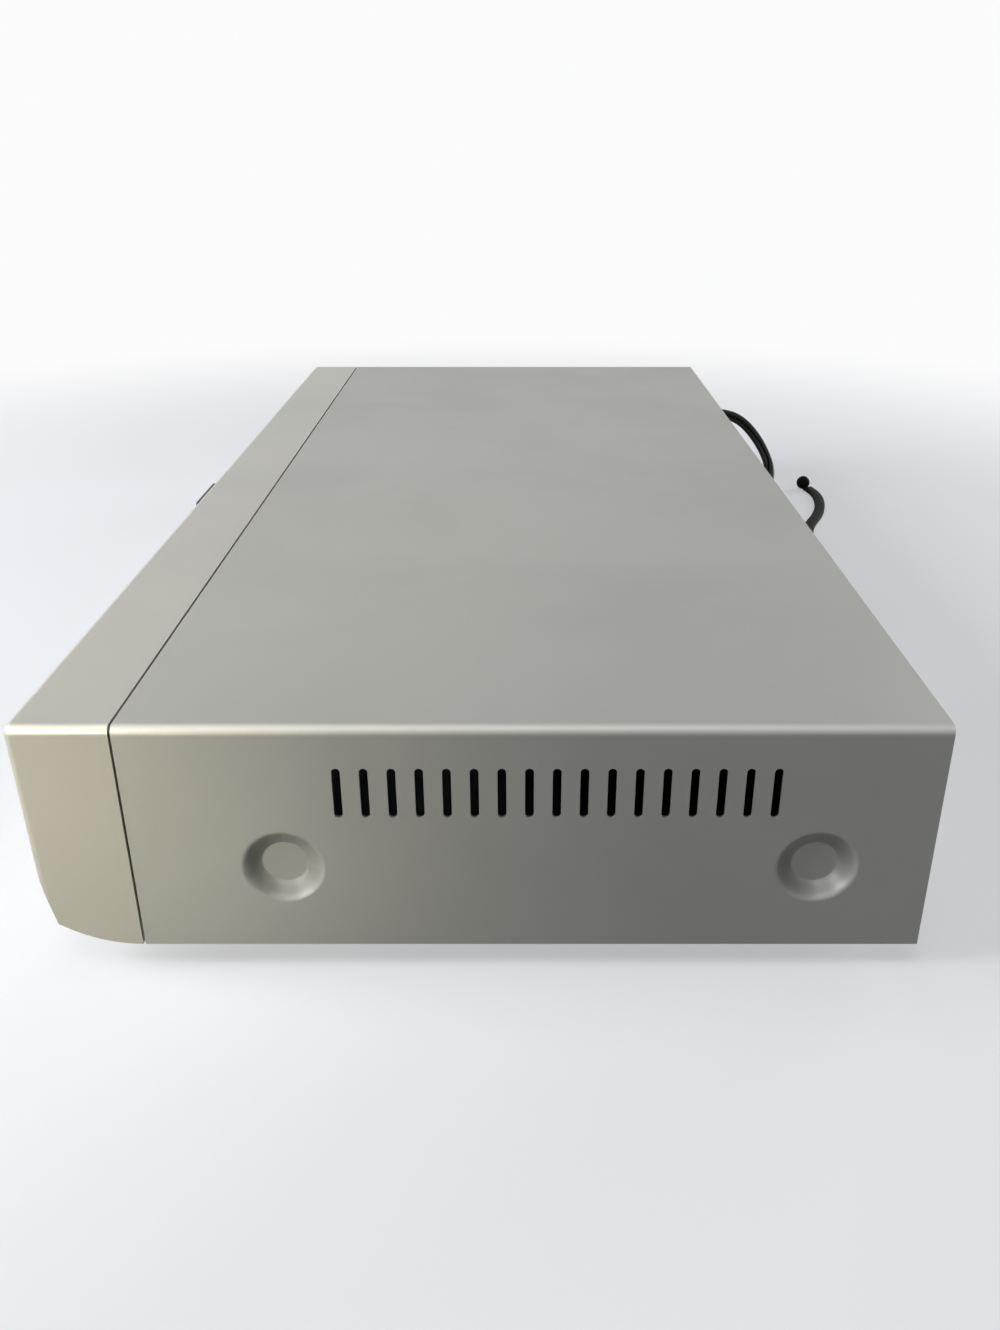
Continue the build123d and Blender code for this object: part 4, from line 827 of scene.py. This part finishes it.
# On the main board: black moulded chips, electrolytic cans, tinned chip legs and rows of small parts.
# Legs go round the large chips and the first memory, and along two sides of the others.
dress(moulded_finish("chip_resin", (0.028, 0.028, 0.030), 0.5, 800, 0.00005), "main_chips")
LEG_WIDE = 0.0004
LEG_LONG = 0.0014
LEG_TALL = 0.0005
LEG_PITCH = 0.0009
LEG_OUT = 0.0007
LIFT = 0.00035
leg_tin = moulded_finish("leg_tin", (0.66, 0.66, 0.66), 0.3, 1500, 0.00001, 0.08, 1.0)
leg_tree, given, leave = new_tree("chip_leg_tree", [
    ("Count", "Int", 10), ("First Place", "Vector", (0, 0, 0)), ("Step", "Vector", (0.001, 0, 0)),
    ("Leg Size", "Vector", (0.0004, 0.0016, 0.0003)),
])
leg_body = add(leg_tree, "GeometryNodeMeshCube", {"Size": given["Leg Size"]}).outputs[0]
close_tree(leg_tree, given, leave, copies(leg_tree, row(leg_tree, given), leg_body))
board_top = main_high.z
leg_sets = []


def leg_row(axis, from_edge, to_edge, place_across):
    """A row of legs along one side of a chip, centred between its edges."""
    count = int((to_edge - from_edge - 0.002) / LEG_PITCH)
    first = (from_edge + to_edge) / 2 - LEG_PITCH / 2 * (count - 1)
    start, step, size = (place_across, first), (0, LEG_PITCH, 0), (LEG_LONG, LEG_WIDE, LEG_TALL)
    if axis == "X":
        start, step, size = (first, place_across), (LEG_PITCH, 0, 0), (LEG_WIDE, LEG_LONG, LEG_TALL)
    leg_sets.append(grown("chip_leg_row", leg_tree, [(0, 0, 0)], {
        "Count": count, "First Place": (*start, board_top + LIFT), "Step": step, "Leg Size": size,
    }, leg_tin))


for x0, x1, y0, y1, all_round in (
    (0.052, 0.080, 0.020, 0.048, True), (0.016, 0.027, 0.024, 0.046, False),
    (0.096, 0.118, 0.032, 0.043, True), (0.088, 0.102, 0.054, 0.064, False),
):
    x0, x1, y0, y1 = main_low.x + x0, main_low.x + x1, main_low.y + y0, main_low.y + y1
    for x in (x0 - LEG_OUT, x1 + LEG_OUT):
        leg_row("Y", y0, y1, x)
    if all_round:
        for y in (y0 - LEG_OUT, y1 + LEG_OUT):
            leg_row("X", x0, x1, y)
chip_legs = joined("chip_legs", *leg_sets)
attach(chip_legs, "player")

# The small parts: little blocks on the points of a grid, some left out and some turned, so that they
# look placed and not printed.
part_finish = moulded_finish("small_parts", (0.20, 0.16, 0.12), 0.45, 1400, 0.00003, 0.8)
part_tree, given, leave = new_tree("small_part_tree", [
    ("Field Width", "Float", 0.02), ("Field Depth", "Float", 0.02), ("Columns", "Int", 6), ("Rows", "Int", 5),
    ("Field Place", "Vector", (0, 0, 0)), ("Part Size", "Vector", (0.0016, 0.0008, 0.0006)),
    ("Share Kept", "Float", 0.7), ("Seed", "Int", 1),
])
part_field = add(part_tree, "GeometryNodeMeshGrid", {
    "Size X": given["Field Width"], "Size Y": given["Field Depth"],
    "Vertices X": given["Columns"], "Vertices Y": given["Rows"],
})
part_place = moved(part_tree, part_field.outputs[0], Translation=given["Field Place"])
part_body = add(part_tree, "GeometryNodeMeshCube", {"Size": given["Part Size"]}).outputs[0]
part_kept = add(part_tree, "FunctionNodeRandomValue", {
    "Probability": given["Share Kept"], "Seed": given["Seed"],
}, data_type="BOOLEAN")
part_turn = add(part_tree, "FunctionNodeRandomValue", {4: 0, 5: 1, "Seed": given["Seed"]}, data_type="INT")
part_way = vector(part_tree, 0, 0, maths(part_tree, "MULTIPLY", part_turn.outputs[2], math.pi / 2))
parts_set = copies(part_tree, part_place, part_body, Selection=part_kept.outputs[3], Rotation=part_way)
close_tree(part_tree, given, leave, parts_set)
fields = []
for number, (x, y, wide, deep, columns, rows) in enumerate([
    (0.066, 0.010, 0.050, 0.009, 15, 4), (0.039, 0.036, 0.014, 0.026, 5, 8),
    (0.128, 0.038, 0.010, 0.030, 4, 9), (0.066, 0.062, 0.026, 0.016, 8, 5),
    (0.107, 0.018, 0.016, 0.014, 5, 4), (0.030, 0.012, 0.016, 0.008, 5, 3),
]):
    fields.append(grown("part_field", part_tree, [(0, 0, 0)], {
        "Field Width": wide, "Field Depth": deep, "Columns": columns, "Rows": rows,
        "Field Place": (main_low.x + x, main_low.y + y, board_top + LIFT),
        "Part Size": (0.0018, 0.0009, 0.0007), "Share Kept": 0.72, "Seed": 11 + number,
    }, part_finish))
small_parts = joined("small_parts", *fields)
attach(small_parts, "player")

# The power supply: a taped transformer between ferrite halves, sleeved capacitors with bare vented
# tops, and a finned sink.
trafo_low, trafo_high = [Vector(corner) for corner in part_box("transformer")]
caps_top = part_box("capacitors")[1][2]
trafo_y = (trafo_low.y + trafo_high.y) / 2
TAPE_HALF = 0.00905
TAPE = ((0.62, 0.50, 0.10), 0.35, 0.0)
FERRITE = ((0.05, 0.05, 0.055), 0.6, 0.0)
SLEEVE = ((0.022, 0.026, 0.055), 0.3, 0.0)
CAN_TOP = ((0.62, 0.62, 0.62), 0.35, 1.0)
dress(split_finish("tape_and_ferrite", TAPE, FERRITE, "Y", TAPE_HALF, trafo_y), "transformer")
dress(split_finish("sleeve_and_top", SLEEVE, CAN_TOP, "Z", caps_top - 0.0003), "capacitors")
dress(drawn_can("sink_metal", (0.62, 0.62, 0.63), 0.4), "heat_sink")

# The wiring: white flat cables whose conductors show as fine grey lines, and a ribbon of round wires.
# The wires of the ribbon are white and red by turns.


def flat_cable(name, ground, line, axis, pitch):
    """A flat cable: even lines along it, one for each conductor, with a slight ripple over each."""
    material, tree, place = new_material(name)
    wave = maths(tree, "SINE", maths(tree, "MULTIPLY", axis_of(tree, place, axis), 2 * math.pi / pitch))
    tint = blend(tree, mapped(tree, wave, 0.0, 1.0, -0.2, 0.5), ground, line)
    return coat(material, tint, 0.4, bump(tree, wave, 0.5, pitch / 8))


CABLE_WHITE = (0.74, 0.75, 0.76)
CABLE_GREY = (0.45, 0.46, 0.48)
dress(flat_cable("front_cable", CABLE_WHITE, CABLE_GREY, "X", 0.001), "front_ribbon")
dress(flat_cable("loader_cable", CABLE_WHITE, CABLE_GREY, "Y", 0.001), "loader_ribbon")
dress(flat_cable("supply_wires", (0.70, 0.69, 0.64), (0.28, 0.05, 0.04), "Y", 0.002), "power_harness")

# The cover: one steel sheet folded over the top and both sides, with its slots and dimples pressed in,
# under a satin silver-grey paint. The paint is smudged in places, slightly metallic, and carries a painted
# highlight along its top edges.
DIMPLE_RIM = 0.0098
DIMPLE_FLOOR = 0.0050
DIMPLE_SHADE = 0.0024
DIMPLE_FROM_FRONT = 0.0354
DIMPLE_FROM_REAR = 0.0268
DIMPLE_FROM_TOP = 0.0372
BOLT_INSET = 0.065
# Black for the shell's rear lip: the bare moulding, and painted shade where it shows in the seam.
BARE_AND_SHADE_BLACK = (0.012, 0.011, 0.010)


def dish_normal(tree, place, dimples):
    """The soft shoulders of pressed dishes at their (y, z) places."""
    nearest = None
    flat = add(tree, "ShaderNodeVectorMath", {0: place, 1: (0, 1, 1)}, operation="MULTIPLY").outputs[0]
    for y, z in dimples:
        gap = add(tree, "ShaderNodeVectorMath", {0: flat, 1: (0, y, z)}, operation="DISTANCE")
        away = gap.outputs["Value"]
        nearest = maths(tree, "MINIMUM", nearest, away) if nearest else away
    dish = mapped(tree, nearest, 0.0, 1.0, DIMPLE_FLOOR, DIMPLE_RIM, "SMOOTHSTEP")
    return bump(tree, dish, 1.0, DIMPLE_SHADE)


def silver_paint(name, colour, smudge, sheen_from=0.36, dimples=None, bare_and_shade_from=None, highlight_edge=None):
    """Satin silver-grey paint: a fine metallic fleck, slow patches and rubbed smears.
    Dimples, as (y, z) places, get the soft shoulders of a pressed dish. Past a place along Y, the piece is
    black, as bare moulding and as painted shade in a seam. An edge, as (x, z), gets a painted highlight along
    it."""
    material, tree, place = new_material(name)
    patches = noise(tree, place, 14, 5, 0.6)
    paint = blend(tree, mapped(tree, patches, 0.0, 1.0, 0.42, 0.72), colour, shaded(colour, 1 - smudge))
    if highlight_edge:
        outward = maths(tree, "ABSOLUTE", axis_of(tree, place, "X"))
        at_side, at_top = [
            mapped(tree, reach, 0.0, 1.0, edge - 0.0026, edge - 0.0004, "SMOOTHSTEP")
            for reach, edge in ((outward, highlight_edge[0]), (axis_of(tree, place, "Z"), highlight_edge[1]))
        ]
        # Painted highlight: the paint is made paler along the folded edge, standing in for a lamp's
        # reflection there.
        paint = blend(tree, maths(tree, "MULTIPLY", at_side, at_top), paint, shaded(colour, 1.75))
    if bare_and_shade_from is not None:
        # Painted shade: past the place along Y the piece is black, as the bare moulding and as the shade in
        # the seam.
        bare_and_shade = maths(tree, "GREATER_THAN", axis_of(tree, place, "Y"), bare_and_shade_from)
        paint = blend(tree, bare_and_shade, paint, BARE_AND_SHADE_BLACK)
    dish = dish_normal(tree, place, dimples) if dimples else None
    relief = bump(tree, noise(tree, place, 2600, 1), 0.12, 0.00004, dish)
    return coat(material, paint, mapped(tree, patches, sheen_from, sheen_from + 0.12), relief, 0.18)


dimple_z = top_z - DIMPLE_FROM_TOP
dimple_places = [(cover_low.y + DIMPLE_FROM_FRONT, dimple_z), (rear_y - DIMPLE_FROM_REAR, dimple_z)]
cover_highlight_edge = (cover_high.x, top_z)
cover_paint = silver_paint("cover_paint", (0.385, 0.388, 0.362), 0.06, 0.40, dimple_places, highlight_edge=cover_highlight_edge)
dress(cover_paint, "top_cover")
cover_seats = [
    (x, rear_y, top_z - 0.0055) for x in (cover_low.x + BOLT_INSET, 0.0, cover_high.x - BOLT_INSET)
]
set_screws("cover_bolts", "cover_screws", cover_seats, 0.0032, 0.0013, 0.0045, (-math.pi / 2, 0, 0), 2)

# The front shell and the tray's front are moulded in black plastic and painted on the outside, a little
# warmer and finer than the steel. A dark clear window sits flush in the shell, over the display.
seam = cover_low.y - 0.0005
# The shell's rear lip, seen in the seam, is black: bare moulding and painted shade. Its top edge carries the
# cover's painted highlight.
front_shell = silver_paint("front_shell", (0.44, 0.435, 0.395), 0.04, 0.30, bare_and_shade_from=seam, highlight_edge=cover_highlight_edge)
dress(front_shell, "front_bezel", "tray_front")
dress(moulded_finish("window_smoke", (0.012, 0.013, 0.016), 0.06, 300, 0.000004, 0.3), "display_window")


def tube_finish(name, glass, cell):
    """The display's glass: a fine dark mesh over unlit, slightly green character cells."""
    material, tree, place = new_material(name)
    upright = add(tree, "ShaderNodeMapping", {"Vector": place, "Rotation": (math.pi / 2, 0, 0)})
    cells = add(tree, "ShaderNodeTexBrick", {
        "Vector": upright.outputs["Vector"], "Scale": 1.0, "Brick Width": 0.008, "Row Height": 0.011,
        "Mortar Size": 0.0008, "Color1": (*cell, 1), "Color2": (*shaded(cell, 0.8), 1), "Mortar": (*glass, 1),
    }, offset=0.0)
    return coat(material, cells.outputs["Color"], 0.08)


dress(tube_finish("display_glass", (0.02, 0.022, 0.022), (0.05, 0.075, 0.07)), "display_tube")
SWITCH_BLACK = ((0.03, 0.03, 0.03), 0.4, 0.0)
SWITCH_STEEL = ((0.6, 0.6, 0.6), 0.3, 1.0)
switch_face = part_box("tact_switches")[0][1] + 0.0008
dress(split_finish("switch_and_plunger", SWITCH_BLACK, SWITCH_STEEL, "Y", switch_face), "tact_switches")

# The control on the front: a satin silver bar with rounded ends round a smooth dark pad.
# The small buttons are the same satin silver, each in its own hole.
bright_trim = silver_paint("bright_trim", (0.50, 0.50, 0.475), 0.04)
dress(bright_trim, "control_frame", "power_button", "open_button", "stop_button", "pause_button",
      "back_button", "forward_button")
dress(moulded_finish("dark_pad", (0.030, 0.030, 0.031), 0.42, 700, 0.00002, shine=0.20), "play_pad")

# The disc tray: dark grey plastic with a fine matt texture, so that the disc slides without marks.
dress(moulded_finish("tray_plastic", (0.075, 0.076, 0.080), 0.5, 900, 0.00006), "disc_tray")

# The rear panel: a plain zinc-coated sheet with the holes of the sockets and a row of vents.
dress(zinc_finish("panel_sheet", (0.52, 0.53, 0.54), 0.44, 360), "rear_panel")

# The sockets: plated rings that stand out of the panel, with coloured plastic inside them, on black
# moulded bodies behind the panel.
NICKEL = (0.66, 0.65, 0.62)
GOLD = (0.80, 0.62, 0.30)
YELLOW = (0.72, 0.55, 0.03)
WHITE = (0.72, 0.72, 0.70)
RED = (0.50, 0.02, 0.02)
ORANGE = (0.70, 0.22, 0.02)
BLACK = (0.02, 0.02, 0.02)
SOCKET_BODY = (0.02, 0.02, 0.021)
PANEL_FACE = rear_y - 0.0012
SINGLE_PITCH = (0.04, 0.06)
SOCKET_Z = 0.036


def socket_finish(name, centre, pitch, inserts, ring_from, ring_to, plated):
    """Sockets on an even grid: an insert in each centre, a plated ring round it, black elsewhere.
    The inserts' colours change from column to column."""
    material, tree, place = new_material(name)

    def from_middle(axis, middle, spacing):
        off = maths(tree, "SUBTRACT", axis_of(tree, place, axis), middle - spacing / 2)
        off = maths(tree, "SUBTRACT", maths(tree, "FLOORED_MODULO", off, spacing), spacing / 2)
        return maths(tree, "MULTIPLY", off, off)

    across = from_middle("X", centre[0], pitch[0])
    radius = maths(tree, "SQRT", maths(tree, "ADD", across, from_middle("Z", centre[1], pitch[1])))
    outside = maths(tree, "GREATER_THAN", axis_of(tree, place, "Y"), PANEL_FACE)
    past_insert = maths(tree, "GREATER_THAN", radius, ring_from)
    ring = maths(tree, "MULTIPLY", past_insert, maths(tree, "LESS_THAN", radius, ring_to))
    ring = maths(tree, "MULTIPLY", ring, outside)
    insert = maths(tree, "MULTIPLY", maths(tree, "LESS_THAN", radius, ring_from), outside)
    colour = inserts[0]
    for column, other in enumerate(inserts[1:]):
        edge = centre[0] + (column + 0.5) * pitch[0]
        colour = blend(tree, maths(tree, "GREATER_THAN", axis_of(tree, place, "X"), edge), colour, other)
    colour = blend(tree, ring, blend(tree, insert, SOCKET_BODY, colour), plated)
    return coat(material, colour, mapped(tree, noise(tree, place, 400), 0.22, 0.42), metallic=ring)


jack_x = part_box("rca_jacks")[0][0] + 0.006
video_x = (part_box("video_jack")[0][0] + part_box("video_jack")[1][0]) / 2
digital_x = (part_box("digital_jack")[0][0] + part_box("digital_jack")[1][0]) / 2
phono = socket_finish(
    "phono_sockets", (jack_x, 0.028), (0.015, 0.016), [YELLOW, WHITE, RED], 0.0031, 0.0044, NICKEL
)
video = socket_finish("video_socket", (video_x, SOCKET_Z), SINGLE_PITCH, [BLACK], 0.0048, 0.0066, NICKEL)
digital = socket_finish("digital_socket", (digital_x, SOCKET_Z), SINGLE_PITCH, [ORANGE], 0.0031, 0.0044, GOLD)
dress(phono, "rca_jacks")
dress(video, "video_jack")
dress(digital, "digital_jack")
